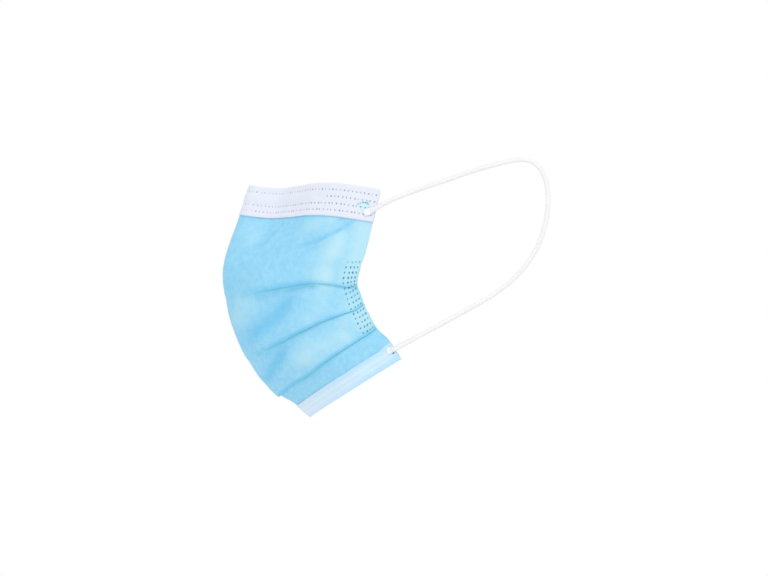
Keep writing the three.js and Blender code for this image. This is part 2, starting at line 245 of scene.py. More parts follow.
# Folds that show on the near side, and others like them on the far side.
DRAG_FOLDS = (
    Crease((0.0805, 0.012), (0.042, 0.0365), 0.0052, 0.0011, 0.0009, 0.6),
    Crease((0.070, 0.017), (0.044, 0.027), 0.0, 0.0036, -0.0006),
    Crease((0.0725, 0.018), (0.066, 0.066), 0.0, 0.0066, -0.0013),
    Crease((0.056, 0.055), (0.001, 0.087), 0.0056, 0.0038, 0.0017, 0.6),
    Crease((0.040, 0.085), (-0.002, 0.109), 0.0042, 0.0028, 0.0011, 0.6),
    Crease((0.069, 0.059), (0.050, 0.080), 0.001, 0.0046, -0.0005),
    Crease((0.067, 0.0535), (0.043, 0.0585), 0.0, 0.0016, 0.0006),
    Crease((0.030, 0.060), (0.010, 0.078), 0.0, 0.0058, -0.0004),
    Crease((0.078, 0.064), (0.064, 0.090), 0.001, 0.0046, -0.0007),
    Crease((0.075, 0.078), (0.034, 0.101), 0.001, 0.0048, -0.0006),
    Crease((0.009, 0.018), (0.022, 0.036), 0.0, 0.0052, -0.0005),
    Crease((0.018, 0.040), (0.007, 0.062), 0.0, 0.0060, 0.0003),
    Crease((0.058, 0.081), (0.030, 0.103), 0.001, 0.0048, -0.0005),
    Crease((0.030, 0.022), (0.024, 0.040), -0.001, 0.0022, 0.0004, 0.4),
    Crease((0.020, 0.058), (0.004, 0.078), 0.001, 0.0042, -0.0004),
    Crease((-0.079, 0.013), (-0.046, 0.040), -0.0035, 0.0009, 0.0010, -0.9),
    Crease((-0.069, 0.018), (-0.065, 0.062), 0.0, 0.0050, -0.0006),
    Crease((-0.054, 0.057), (-0.006, 0.084), -0.004, 0.0042, 0.0016, -0.6),
    Crease((-0.043, 0.083), (-0.004, 0.106), -0.001, 0.0030, 0.0012, -0.6),
    Crease((-0.059, 0.082), (-0.034, 0.102), -0.001, 0.0046, -0.0005),
    Crease((-0.026, 0.021), (-0.031, 0.043), 0.001, 0.0022, 0.0004, 0.4),
)

# Ripples all over the cloth: height, size of one bump and pattern.
RIPPLES = ((0.5 * MM, 19 * MM, 4), (0.22 * MM, 8 * MM, 9), (0.07 * MM, 3.5 * MM, 13))


def small_wrinkles(count: int, seed: int) -> tuple[Crease, ...]:
    """Spreads short shallow wrinkles over the sheet, most of them lying across it.

    Args:
        count: how many.
        seed: picks the pattern.

    Returns:
        The wrinkles.
    """
    random = np.random.default_rng(seed)
    made = []
    for _ in range(count):
        around, down = random.uniform(-0.08, 0.08), random.uniform(0.018, 0.112)
        length, turn = random.uniform(0.005, 0.015), random.normal(0, 0.45)
        end = (around + length * math.cos(turn), down + length * math.sin(turn))
        width, depth = random.uniform(0.0007, 0.0014), random.uniform(-0.00018, 0.00022)
        made.append(Crease((around, down), end, random.uniform(-0.001, 0.001), width, depth, 0.5))
    return tuple(made)


@dataclass
class WornSheet:
    """The surface that all the cloth follows, as a grid of stations across and samples down it.

    Across runs from -1 at the right side edge to 1 at the left one. The seat is the place over the nose
    where the bridge carries the binding: its length down from the top edge, and how far in it lies.
    """

    depth: float = 91 * MM
    height: float = 117 * MM
    half_width: float = 46 * MM
    stations: int = 301
    samples: int = 28
    row_samples: int = 2401
    folds: tuple[Crease, ...] = DRAG_FOLDS
    wrinkles: tuple[Crease, ...] = small_wrinkles(60, 17)
    wrinkle_shade: float = 0.3
    seat_down: float = 7.74 * MM
    seat_in: float = 1.8 * MM
    across: np.ndarray = field(init=False)
    points: np.ndarray = field(init=False)
    normals: np.ndarray = field(init=False)
    lengths: np.ndarray = field(init=False)
    half_length: float = field(init=False)

    def __post_init__(self) -> None:
        """Works out the grid."""
        self.across = np.linspace(-1, 1, self.stations)
        rows = np.stack([self._row(row) for row in ROWS], axis=1)
        self.points = spline(rows, np.linspace(0, 1, (len(ROWS) - 1) * self.samples + 1))
        down = np.gradient(self.points, axis=1)
        left = np.gradient(self.points, axis=0)
        self.normals = unit(np.cross(down, left))
        self.lengths = lengths_along(self.points)

    def _row(self, row: Row) -> np.ndarray:
        """Draws one row over both halves of the mask.

        Args:
            row: its section.

        Returns:
            Its points, as (station, 3).
        """
        middle = np.array([0, row.mid_back * self.depth, -row.mid_down * self.height])
        corner = np.array([0, row.side_back * self.depth, -row.side_down * self.height])
        run = corner - middle
        up = np.array([0, -run[2], run[1]]) / np.linalg.norm(run)
        weights = np.array([row.nose, 1 - row.nose - row.chin, row.chin])
        half = []
        for pairs in PLAN:
            side, back = weights @ np.array(pairs, float)
            lift = row.arch * math.sin(math.pi * back**1.5) ** 2
            sag = row.dip * math.sin(2 * math.pi * min(back, 0.5)) ** 2
            out = np.array([side * row.width * self.half_width, 0, 0])
            half.append(middle + back * run + (lift - sag) * self.height * up + out)
        mirrored = [p * [-1, 1, 1] for p in half[:0:-1]]
        dense = spline(np.array(mirrored + half), np.linspace(0, 1, self.row_samples))
        lengths = lengths_along(dense)
        if row.name == "top":
            self.half_length = float(lengths[-1] / 2)
        return at_lengths(dense, lengths, (self.across + 1) / 2 * lengths[-1])

    @property
    def around(self) -> np.ndarray:
        """Length round the top edge from the middle plane, as (station, 1)."""
        return (self.across * self.half_length)[:, None]

    @property
    def inward(self) -> np.ndarray:
        """Length in from the nearer side edge, as (station, 1)."""
        return (1 - np.abs(self.across[:, None])) * self.half_length

    @property
    def total(self) -> np.ndarray:
        """Length from the top edge to the lower edge, at every station."""
        return self.lengths[:, -1]

    @property
    def origin(self) -> np.ndarray:
        """Where the nose bridge carries the binding, as the solids have it."""
        tables = (self.points, self.normals)
        base, facing = (self.read(table, self.stations // 2, self.seat_down) for table in tables)
        return base - self.seat_in * facing

    def read(self, table: np.ndarray, station: int, down: np.ndarray | float) -> np.ndarray:
        """Reads the points or the normals at lengths down one station."""
        return at_lengths(table[station], self.lengths[station], down)

    def station_at(self, share: float) -> int:
        """The station nearest to a share across, from -1 to 1."""
        return int(round((share + 1) / 2 * (self.stations - 1)))

    def share_at(self, side: Side, inward: float) -> float:
        """The share across of a place that lies inward from one side edge."""
        return side.value * (1 - inward / self.half_length)

    def length_to(self, name: str) -> np.ndarray:
        """Length down the sheet from the top edge to a named row, at every station."""
        index = [row.name for row in ROWS].index(name)
        return self.lengths[:, index * self.samples]

    def relief(self, down: np.ndarray) -> np.ndarray:
        """Adds up the ripples, folds and wrinkles, which are calmer near the binding and the hem.

        Args:
            down: lengths down the sheet, as (station, point).

        Returns:
            How far the cloth stands off the plain surface there.
        """
        height = sum(tall * value_noise(self.around, down, bump, seed) for tall, bump, seed in RIPPLES)
        height = height * (0.25 + 0.75 * smooth(4 * MM, 22 * MM, down))
        open_cloth = smooth(16 * MM, 21 * MM, down) * (1 - smooth(108 * MM, 122 * MM, down))
        for crease in self.folds + self.wrinkles:
            height = height + open_cloth * crease.height(self.around, down)
        return height

    def shade(self, down: np.ndarray) -> np.ndarray:
        """Adds up the painted shade in the folds' and wrinkles' valleys and the painted highlight on their
        swellings.

        Args:
            down: lengths down the sheet, as (station, point).

        Returns:
            How far each place lies in a valley, up to 1, or on a swelling, down to -1.
        """
        deep = sum(fold.shade(self.around, down) for fold in self.folds)
        fine = sum(wrinkle.shade(self.around, down) for wrinkle in self.wrinkles)
        return (deep + self.wrinkle_shade * fine).clip(-1, 1)

    def place(self, down: np.ndarray, off: np.ndarray) -> np.ndarray:
        """Puts points on the sheet, with its creases and ripples.

        Args:
            down: lengths down the sheet, as (station, point).
            off: heights off it, as (station, point).

        Returns:
            Their places, as (station, point, 3).
        """
        off = off + self.relief(down)
        placed = np.empty((*down.shape, 3))
        for i in range(self.stations):
            base, facing = self.read(self.points, i, down[i]), self.read(self.normals, i, down[i])
            placed[i] = base + off[i][:, None] * facing
        return placed - self.origin


def section_sides(line: np.ndarray, wall: float) -> tuple[np.ndarray, np.ndarray]:
    """The outer and inner faces of a strip of cloth.

    Args:
        line: its middle line, as (station, point, 2) lengths down and heights off.
        wall: its thickness.

    Returns:
        The two faces, each shaped as the line.
    """
    ahead = np.gradient(line, axis=1)
    ahead = ahead / np.maximum(np.linalg.norm(ahead, axis=-1, keepdims=True), 1e-12)
    shift = np.stack([-ahead[..., 1], ahead[..., 0]], axis=-1) * wall / 2
    return line + shift, line - shift


def even(start: np.ndarray, end: np.ndarray, cuts: int) -> np.ndarray:
    """Evenly spaced points from start to end at every station, without the first."""
    share = np.linspace(0, 1, cuts + 1)[1:, None]
    return start[:, None, :] + share * (end - start)[:, None, :]


def arc(centre: np.ndarray, radius: np.ndarray, first: np.ndarray, last: np.ndarray, cuts: int) -> np.ndarray:
    """Draws an arc at every station.

    Args:
        centre: its centres, as (station, 2).
        radius: its radii.
        first: the angles where it starts.
        last: the angles where it ends.
        cuts: how many steps it takes.

    Returns:
        Its points with both ends included, as (station, point, 2).
    """
    share = np.linspace(0, 1, cuts + 1)
    angle = first[:, None] + share * (last - first)[:, None]
    circle = np.stack([np.cos(angle), np.sin(angle)], axis=-1)
    return centre[:, None, :] + radius[:, None, None] * circle


def pair(x: np.ndarray | float, y: np.ndarray | float) -> np.ndarray:
    """Stacks two coordinates into points."""
    x, y = np.broadcast_arrays(np.asarray(x, float), np.asarray(y, float))
    return np.stack([x, y], axis=-1)


def folded_strip(
    edge: np.ndarray, inward: int, height: np.ndarray, reach: float, rise: float, cuts: tuple[int, int]
) -> np.ndarray:
    """The middle line of a strip that is folded over an edge of the sheet.

    Args:
        edge: where the fold lies, as a length down the sheet at every station.
        inward: 1 if the strip runs down from there, -1 if it runs up.
        height: how far each flap runs, at every station, from the unrounded edge.
        reach: distance from the sheet's middle to that of a flap.
        rise: height of the sheet's middle.
        cuts: cuts along each flap and round half the fold.

    Returns:
        The line as (station, point, 2), from the outer flap's free edge to the inner one's.
    """
    flap, bend = cuts
    far = height if inward > 0 else edge - height
    radius = np.full_like(far, reach)
    centre = pair(edge + inward * reach, rise)
    quarter = np.full_like(far, math.pi / 2)
    fold = arc(centre, radius, quarter, quarter + inward * math.pi, 2 * bend)
    front = pair(far, rise + reach)
    back = pair(far, rise - reach)
    return np.concatenate(
        [front[:, None], even(front, fold[:, 0], flap), fold[:, 1:], even(fold[:, -1], back, flap)], axis=1
    )


def add_object(name: str, data: bpy.types.ID, *materials: bpy.types.Material) -> bpy.types.Object:
    """Puts an object in the scene.

    Args:
        name: its name.
        data: its mesh, light or camera.
        materials: a mesh's finishes, in the order of its slots.

    Returns:
        The object.
    """
    made = bpy.data.objects.new(name, data)
    bpy.context.collection.objects.link(made)
    for material in materials:
        data.materials.append(material)
    return made


def stand_for(piece: bpy.types.Object, solid: str) -> None:
    """Puts a piece in the place of a solid.

    Args:
        piece: the piece.
        solid: the CAD node that it stands for.
    """
    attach(piece, BODY)
    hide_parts(solid)


def ring_quads(rings: int, sides: int) -> tuple[np.ndarray, np.ndarray]:
    """Joins rings of points with quads.

    Args:
        rings: how many rings.
        sides: how many points each has.

    Returns:
        The points' numbers as (ring, side), and the quads as (quad, 4).
    """
    index = np.arange(rings * sides).reshape(rings, sides)
    after = np.roll(index, -1, axis=1)
    quads = np.stack([index[:-1], after[:-1], after[1:], index[1:]], axis=-1)
    return index, quads.reshape(-1, 4)


def closed_mesh(name: str, places: np.ndarray, quads: np.ndarray, ends: list[list[int]]) -> bpy.types.Mesh:
    """Makes a closed mesh whose faces point outwards.

    Args:
        name: its name.
        places: its points, as (point, 3).
        quads: its smooth faces, as (quad, 4).
        ends: its flat end faces, where it has any.

    Returns:
        The mesh.
    """
    corners = places[quads]
    halves = [np.cross(corners[:, k], corners[:, k + 1]) for k in (1, 2)]
    volume = np.einsum("ij,ij->", corners[:, 0], halves[0] + halves[1])
    faces = quads.tolist() + ends
    if volume < 0:
        faces = [face[::-1] for face in faces]
    mesh = bpy.data.meshes.new(name)
    mesh.from_pydata(places.tolist(), [], faces)
    mesh.polygons.foreach_set("use_smooth", np.arange(len(faces)) < len(quads))
    return mesh


def vertex_of_corner(mesh: bpy.types.Mesh) -> np.ndarray:
    """Reads which vertex each face corner uses.

    Args:
        mesh: the mesh.

    Returns:
        The vertices' numbers, in the order of the corners.
    """
    vertex = np.empty(len(mesh.loops), int)
    mesh.loops.foreach_get("vertex_index", vertex)
    return vertex


def lay_map(mesh: bpy.types.Mesh, flat: np.ndarray) -> None:
    """Gives a mesh a UV map in metres of cloth, from one pair for each vertex."""
    layer = mesh.uv_layers.new(name=CLOTH_MAP)
    layer.data.foreach_set("uv", flat[vertex_of_corner(mesh)].ravel())


def close_map(mesh: bpy.types.Mesh, sides: int, quads: int, around: float) -> None:
    """Carries a tube's map on past its seam, where the last column of quads meets the first.

    Args:
        mesh: the tube.
        sides: how many points each of its rings has.
        quads: how many quads join the rings.
        around: the map's length round the tube.
    """
    layer = mesh.uv_layers[CLOTH_MAP]
    flat = np.empty(2 * len(mesh.loops))
    layer.data.foreach_get("uv", flat)
    last = np.repeat(np.arange(quads) % sides == sides - 1, 4)
    seam = np.flatnonzero(last & (vertex_of_corner(mesh)[: 4 * quads] % sides == 0))
    flat[2 * seam] = around
    layer.data.foreach_set("uv", flat)


def paint_weights(mesh: bpy.types.Mesh, name: str, weights: np.ndarray) -> None:
    """Stores three weights for each vertex as a colour attribute."""
    layer = mesh.attributes.new(name, "FLOAT_COLOR", "POINT")
    layer.data.foreach_set("color", np.column_stack([weights, np.ones(len(weights))]).ravel())


def tube_object(name: str, rings: np.ndarray, material: bpy.types.Material) -> bpy.types.Object:
    """Joins rings of points into one closed body with a flat face at each end.

    Args:
        name: the object's name.
        rings: the rings, as (ring, point, 3).
        material: its finish.

    Returns:
        The object, with a map of metres round and along it.
    """
    map_width = 8 * MM
    count, sides = rings.shape[:2]
    index, quads = ring_quads(count, sides)
    mesh = closed_mesh(name, rings.reshape(-1, 3), quads, [index[0][::-1].tolist(), index[-1].tolist()])
    along = lengths_along(rings.mean(axis=1))
    around = np.linspace(0, map_width, sides, endpoint=False)
    lay_map(mesh, pair(around[None, :], along[:, None]).reshape(-1, 2))
    close_map(mesh, sides, len(quads), map_width)
    return add_object(name, mesh, material)


@dataclass
class Cloth:
    """A strip or sheet of cloth, ready to become a mesh.

    Line holds its middle as (station, point, 2), and tone an RGB weight for each of its points.
    """

    name: str
    sheet: WornSheet
    line: np.ndarray
    wall: float
    tone: np.ndarray

    def build(self, outside: bpy.types.Material, inside: bpy.types.Material) -> bpy.types.Object:
        """Makes the closed mesh.

        Args:
            outside: finish of the outer face and the edges.
            inside: finish of the inner face.

        Returns:
            The object.
        """
        outer, inner = section_sides(self.line, self.wall)
        ring = np.concatenate([outer, inner[:, ::-1]], axis=1)
        places = self.sheet.place(ring[..., 0], ring[..., 1])
        stations, count = places.shape[:2]
        index, quads = ring_quads(stations, count)
        half = count // 2
        near = np.arange(half - 1)
        cap = np.stack([near, near + 1, count - 2 - near, count - 1 - near], axis=-1)
        slots = np.zeros((stations - 1, count), int)
        slots[:, half:-1] = 1
        faces = np.concatenate([quads, index[0][cap][:, ::-1], index[-1][cap]])
        mesh = closed_mesh(self.name, places.reshape(-1, 3), faces, [])
        slots = np.concatenate([slots.ravel(), np.zeros(2 * len(cap), int)])
        mesh.polygons.foreach_set("material_index", slots)
        length = lengths_along(self.line)
        length = np.concatenate([length, length[:, ::-1]], axis=1)
        lay_map(mesh, pair(self.sheet.around, length).reshape(-1, 2))
        tone = np.concatenate([self.tone, self.tone[:, ::-1]], axis=1)
        paint_weights(mesh, "tone", tone.reshape(-1, 3))
        return add_object(self.name, mesh, outside, inside)


@dataclass(frozen=True)
class Pleat:
    """One pleat. A share of 1 is folded to the whole depth, 0 is just folded, and -1 is let out flat.

    At_middle is its share over the middle of the mask, which grows to 1 between the places across that inner
    and outer give. Slack is how much rounder its bends are half way to the side edge. Sink is how far its fold
    sags at the side edges, droop how far it hangs lower over the middle, and sag how far it does at the place
    across that sag_at gives. Roll is how far above the fold the painted shade reaches.
    """

    row: str
    at_middle: float
    inner: float
    outer: float
    run_cuts: int
    slack: float
    sink: float
    droop: float
    sag: float
    sag_at: float
    roll: float

    def fall(self, across: np.ndarray) -> np.ndarray:
        """How far the fold hangs below its row at shares across, from 0 at the middle to 1 at the side."""
        sink = self.sink * smooth(0.74, 0.96, across) * (1 - 0.75 * smooth(0.93, 1, across))
        droop = self.droop * (1 - smooth(0.0, 0.45, across))
        return sink + droop + self.sag * hump(across - self.sag_at, 0.19)

    def shadow(self, across: np.ndarray, turn: np.ndarray) -> np.ndarray:
        """How strong the painted shade above the fold is, which fades where the fold opens."""
        shown = 0.4 * smooth(0.02, 0.3, turn / math.pi) + 0.25 * smooth(0.5, 0.9, turn / math.pi)
        return shown * (1 - 0.3 * smooth(0.65, 0.85, across))


@dataclass
class Stretch:
    """A stretch of the sheet's line, and for each point the painted light and shade of a hidden layer, and the
    painted shade where it rolls into a fold.
    """

    line: np.ndarray
    fold_gap_shading: np.ndarray
    roll_shade: np.ndarray

    @classmethod
    def plain(cls, line: np.ndarray) -> "Stretch":
        """A stretch that lies open and flat."""
        return cls(line, np.zeros(line.shape[:2]), np.zeros(line.shape[:2]))


@dataclass
class PleatedPanel:
    """The blue filter sheet with its three pleats.

    Top is where it begins under the binding, and ramp how far below the binding's row its first run starts. A
    pleat's middle layer is pleat_depth long where it is folded whole, short_facet where it is just folded and
    open_facet where it is let out flat. Brink is how far before a bend the run above it ends. The seam's tone
    grows from seam_from to seam_to, which are lengths in from the side edge.
    """

    sheet: WornSheet
    flat_size: tuple[float, float] = (0.175, 0.155)
    wall: float = 0.45 * MM
    top: float = 9.2 * MM
    ramp: float = 2 * MM
    pleat_depth: float = 9 * MM
    short_facet: float = 1.0 * MM
    open_facet: float = 2.4 * MM
    fold_radius: float = 0.34 * MM
    brink: float = 0.25 * MM
    hem_gap: float = 1.8 * MM
    hem_clearance: float = 0.3 * MM
    seam_from: float = 17 * MM
    seam_to: float = 3 * MM
    # Width of the painted shade along each side edge.
    edge_shade_width: float = 0.45 * MM
    arc_cuts: int = 6
    layer_cuts: int = 5
    pleats: tuple[Pleat, ...] = (
        Pleat("pleat1", -0.95, 0.12, 1.0, 34, 0.4, 1.5 * MM, 0.0, 1.5 * MM, 0.66, 1.4 * MM),
        Pleat("pleat2", -0.97, 0.05, 0.85, 16, 0.3, 1.7 * MM, 0.0, 1.0 * MM, 0.36, 0.65 * MM),
        Pleat("pleat3", 0.55, 0.0, 0.9, 20, 0.25, 0.3 * MM, 2.4 * MM, 1.3 * MM, 0.5, 0.6 * MM),
    )

    def build(self, finishes: "Finishes") -> bpy.types.Object:
        """Args:
            finishes: the mask's finishes.

        Returns:
            The sheet.
        """
        line, tone = self.section()
        cloth = Cloth("filter_sheet", self.sheet, line, self.wall, tone)
        piece = cloth.build(finishes.blue.material(), finishes.lining.material())
        stand_for(piece, "pleated_panel")
        return piece

    def fold(self, pleat: Pleat) -> tuple[np.ndarray, np.ndarray, np.ndarray]:
        """Works out how a pleat is folded at every station.

        Args:
            pleat: which pleat.

        Returns:
            Its turn, the length of its middle layer and its bend radius.
        """
        across = np.abs(self.sheet.across)
        share = pleat.at_middle + (1 - pleat.at_middle) * smooth(pleat.inner, pleat.outer, across)
        turn = math.pi * (1 + np.minimum(share, 0))
        longest = np.where(share >= 0, self.pleat_depth, self.open_facet)
        middle = self.short_facet + (longest - self.short_facet) * np.abs(share)
        slack = 1 + pleat.slack * np.sin(math.pi * np.clip(across, 0, 1)) ** 2
        return turn, middle, self.fold_radius * slack

    def section(self) -> tuple[np.ndarray, np.ndarray]:
        """Draws the sheet's middle line at every station.

        Returns:
            The line as (station, point, 2), and the three weights that _tone gives.
        """
        sheet = self.sheet
        top = pair(np.full(sheet.stations, self.top), SHEET_RISE)
        at = pair(sheet.length_to("binding") + self.ramp, SHEET_RISE)
        stretches = [Stretch.plain(top[:, None]), Stretch.plain(even(top, at, 10))]
        for number, pleat in enumerate(self.pleats):
            stretches += self._pleat(number, pleat, at)
            at = stretches[-1].line[:, -1]
        hem = pair(sheet.total - ChinHem(sheet).height_at() - self.hem_clearance, SHEET_RISE)
        last = pair(sheet.total - self.hem_gap, SHEET_RISE)
        stretches += [Stretch.plain(even(at, hem, 10)), Stretch.plain(even(hem, last, 6))]
        line = np.concatenate([stretch.line for stretch in stretches], axis=1)
        fold_gap_shading = np.concatenate([stretch.fold_gap_shading for stretch in stretches], axis=1)
        roll_shade = np.concatenate([stretch.roll_shade for stretch in stretches], axis=1)
        return line, self._tone(line, fold_gap_shading, roll_shade)

    def _pleat(self, number: int, pleat: Pleat, at: np.ndarray) -> tuple[Stretch, Stretch]:
        """Draws the run down to a pleat, and its folded layers.

        Args:
            number: which pleat it is from the top, which picks how its fold wanders.
            pleat: its sizes.
            at: where the cloth above it ends, at every station.

        Returns:
            The run and the fold.
        """
        across = np.abs(self.sheet.across)
        turn, middle, radius = self.fold(pleat)
        drop = 2 * radius * (1 - np.cos(turn)) + middle * np.sin(turn)
        numbers = np.full(self.sheet.stations, float(number))
        wobble = value_noise(self.sheet.across * 0.08, numbers, 9 * MM, 20 + number)
        wander = pleat.fall(across) + 0.25 * MM * wobble
        reach = radius * np.sin(np.minimum(turn, math.pi / 2))
        start = pair(self.sheet.length_to(pleat.row) - reach + wander, SHEET_RISE + drop / 2)
        lean = np.arctan2(start[:, 1] - at[:, 1], start[:, 0] - at[:, 0])
        brink = start - self.brink * pair(np.cos(lean), np.sin(lean))
        run = even(at, brink, pleat.run_cuts)
        # Painted shade on the run, strongest just above the fold, and on the start of the outer bend.
        shown = pleat.shadow(across, turn)[:, None]
        roll = (pleat.roll * (1 - 0.5 * smooth(0.65, 0.85, across)))[:, None]
        above = Stretch(run, np.zeros(run.shape[:2]), shown * hump(brink[:, :1] - run[..., 0], roll))
        folded = self._fold_line(turn, middle, radius)
        end = folded[:, -1]
        clear = pair(np.maximum(reach, end[:, 0]) + radius, end[:, 1])
        path = np.concatenate([folded, even(end, clear, 4)], axis=1)
        cos, sin = np.cos(lean)[:, None], np.sin(lean)[:, None]
        x = start[:, :1] + cos * path[..., 0] - sin * path[..., 1]
        y = start[:, 1:] + sin * path[..., 0] + cos * path[..., 1]
        cuts = np.arange(x.shape[1])
        # Painted light and shade on the layers hidden in the fold.
        hidden = smooth(self.arc_cuts * 0.5, self.arc_cuts * 1.5, cuts)
        fold_gap_shading = hidden * 0.8 * smooth(0.1, 0.8, turn / math.pi)[:, None]
        return above, Stretch(pair(x, y), fold_gap_shading, shown * hump(cuts, 4))

    def _fold_line(self, turn: np.ndarray, middle: np.ndarray, radius: np.ndarray) -> np.ndarray:
        """Draws the outer bend, middle layer and inner bend of a pleat.

        Args:
            turn: how far the cloth turns back, at every station.
            middle: length of the middle layer.
            radius: radius of both bends.

        Returns:
            The line from the pleat's own origin down the sheet, as (station, point, 2).
        """
        down = pair(np.cos(turn), -np.sin(turn))
        quarter = np.full_like(turn, math.pi / 2)
        outer = arc(pair(0, -radius), radius, quarter, quarter - turn, self.arc_cuts)
        crease = outer[:, -1] + down * middle[:, None]
        centre = crease + pair(np.sin(turn), np.cos(turn)) * radius[:, None]
        inner = arc(centre, radius, -quarter - turn, -quarter, self.arc_cuts)
        layer = even(outer[:, -1], crease, self.layer_cuts)[:, :-1]
        return np.concatenate([outer, layer, inner], axis=1)

    def _tone(self, line: np.ndarray, fold_gap_shading: np.ndarray, roll_shade: np.ndarray) -> np.ndarray:
        """Works out the three weights of the cloth's colours.

        Args:
            line: the sheet's middle, as (station, point, 2).
            fold_gap_shading: painted light and shade on the layers hidden in a pleat.
            roll_shade: painted shade where it rolls into the fold below it.

        Returns:
            Weights for the painted light and shade of hidden layers, for the painted shade where the cloth
            lies low, turns away at the side edges or rolls into a fold, and for the side seam with the painted
            highlight on swellings.
        """
        sheet, down = self.sheet, line[..., 0]
        across = np.abs(sheet.across)[:, None]
        begins, full = (1 - inward / sheet.half_length for inward in (self.seam_from, self.seam_to))
        seam = 0.85 * smooth(begins, full, across)
        past = down - sheet.length_to("pleat3")[:, None]
        seam = seam * (1 - 0.95 * smooth(-5 * MM, 0.5 * MM, past))
        seam = seam * (1 - 0.5 * hump(down - 56 * MM, 6 * MM))
        shade = sheet.shade(down)
        blur = 0.75 + 0.25 * value_noise(across * sheet.half_length, down, 6 * MM, 41)
        # Swellings take a painted highlight through the seam's weight.
        seam = np.maximum(seam, -blur * FULL_SHADE / MM * shade)
        # Painted shade in the valleys and along each side edge.
        dark = np.maximum(0.6 * shade, 0.5 * hump(sheet.inward, self.edge_shade_width))
        return np.stack([fold_gap_shading, np.maximum(dark, roll_shade), seam * (1 - roll_shade)], axis=-1)


@dataclass
class NoseBinding:
    """The white strip that is folded over the top edge and holds the nose wire.

    Corner is the radius of its upper corners, and pressed the spot that the cord's end is welded on: its
    length in from the side edge and down from the top edge. Weld rows are shares of its height.
    """

    sheet: WornSheet
    height: float = 17.6 * MM
    pinch: float = 0.92
    wall: float = 0.32 * MM
    reach: float = 0.46 * MM
    corner: float = 1.8 * MM
    puff: float = 0.16 * MM
    wire_ridge: float = 0.3 * MM
    cuts: tuple[int, int] = (28, 8)
    pressed: tuple[float, float] = (6.6 * MM, 10.0 * MM)
    weld_rows: tuple[float, ...] = (0.195, 0.398, 0.608, 0.8)
    wired_row: int = 1
    dot_pitch: float = 2.1 * MM

    def height_at(self) -> np.ndarray:
        """Height of the strip at every station: lower over the nose, where the wire pinches it."""
        return self.height * (self.pinch + (1 - self.pinch) * smooth(0, 0.5, np.abs(self.sheet.across)))

    def top_at(self) -> np.ndarray:
        """How far the top edge falls away at the rounded ends, at every station."""
        gone = np.clip(1 - self.sheet.inward[:, 0] / self.corner, 0, 1)
        return self.corner * (1 - np.sqrt(1 - gone**2))

    def build(self, finishes: "Finishes") -> bpy.types.Object:
        """Makes the strip, pressed flat at its upper corners.

        Args:
            finishes: the mask's finishes.

        Returns:
            The strip.
        """
        line = folded_strip(self.top_at(), 1, self.height_at(), self.reach, SHEET_RISE, self.cuts)
        rise = line[..., 1] - SHEET_RISE
        inward = self.sheet.inward
        closed = (1 - smooth(0.2 * MM, 2.4 * MM, inward)) * (1 - smooth(7 * MM, 9.4 * MM, line[..., 0]))
        open_share = 1 - (1 - 0.52 * self.wall / self.reach) * closed
        line[..., 1] = SHEET_RISE + (rise + self._quilt(line) * np.sign(rise)) * open_share
        tone = np.zeros((*line.shape[:2], 3))
        # Painted shade along the strip's lower edges.
        tone[..., 0] = hump(self.height_at()[:, None] - line[..., 0], 0.8 * MM)
        off = np.hypot((inward - self.pressed[0]) / 1.25, line[..., 0] - self.pressed[1])
        tone[..., 2] = 0.7 * (1 - smooth(1.2 * MM, 3.6 * MM, off)) * (rise > 0)
        piece = Cloth("nose_band", self.sheet, line, self.wall, tone).build(*[finishes.white.material()] * 2)
        stand_for(piece, "nose_binding")
        return piece

    def _quilt(self, line: np.ndarray) -> np.ndarray:
        """Puffs the strip out between the weld rows and over the wire.

        Args:
            line: its middle, as (station, point, 2).

        Returns:
            How far it stands out at each point.
        """
        heights = self.height_at()[:, None]
        share = line[..., 0] / heights
        around = self.sheet.around
        wired = 1 - smooth(0.97, 1.03, np.abs(around) / (NoseWire.length / 2))
        puffed = np.full_like(share, self.puff)
        for number, row in enumerate(self.weld_rows):
            off = (share - row) * heights
            held = hump(off, 0.8 * MM)
            dots = 0.6 + 0.4 * np.cos(2 * math.pi * around / self.dot_pitch)
            if number == self.wired_row:
                puffed = puffed + wired * self.wire_ridge * np.exp(-((off / (2.1 * MM)) ** 4))
                held = held * (1 - wired)
            puffed = puffed - self.puff * held * dots
        ends = smooth(0, 0.06, share) * (1 - smooth(0.93, 1.0, share))
        return puffed * ends + 0.12 * MM * smooth(0.95, 1.0, share)


@dataclass
class NoseWire:
    """The flat bendable strip inside the binding."""

    sheet: WornSheet
    length: float = 100 * MM
    width: float = 4 * MM
    thickness: float = 0.5 * MM
    down: float = 6.9 * MM
    cuts: int = 6

    def build(self, finishes: "Finishes") -> bpy.types.Object:
        """Makes the strip, which the binding hides.

        Args:
            finishes: the mask's finishes.

        Returns:
            The strip.
        """
        inside = np.abs(self.sheet.across) * self.sheet.half_length <= self.length / 2
        top = pair(np.full(self.sheet.stations, self.down - self.width / 2), SHEET_RISE)
        line = np.concatenate([top[:, None], even(top, top + [self.width, 0], self.cuts)], axis=1)
        outer, inner = section_sides(line, self.thickness)
        ring = np.concatenate([outer, inner[:, ::-1]], axis=1)
        rings = self.sheet.place(ring[..., 0], ring[..., 1])[inside]
        piece = tube_object("nose_strip", rings, finishes.wire.material())
        stand_for(piece, "nose_wire")
        return piece


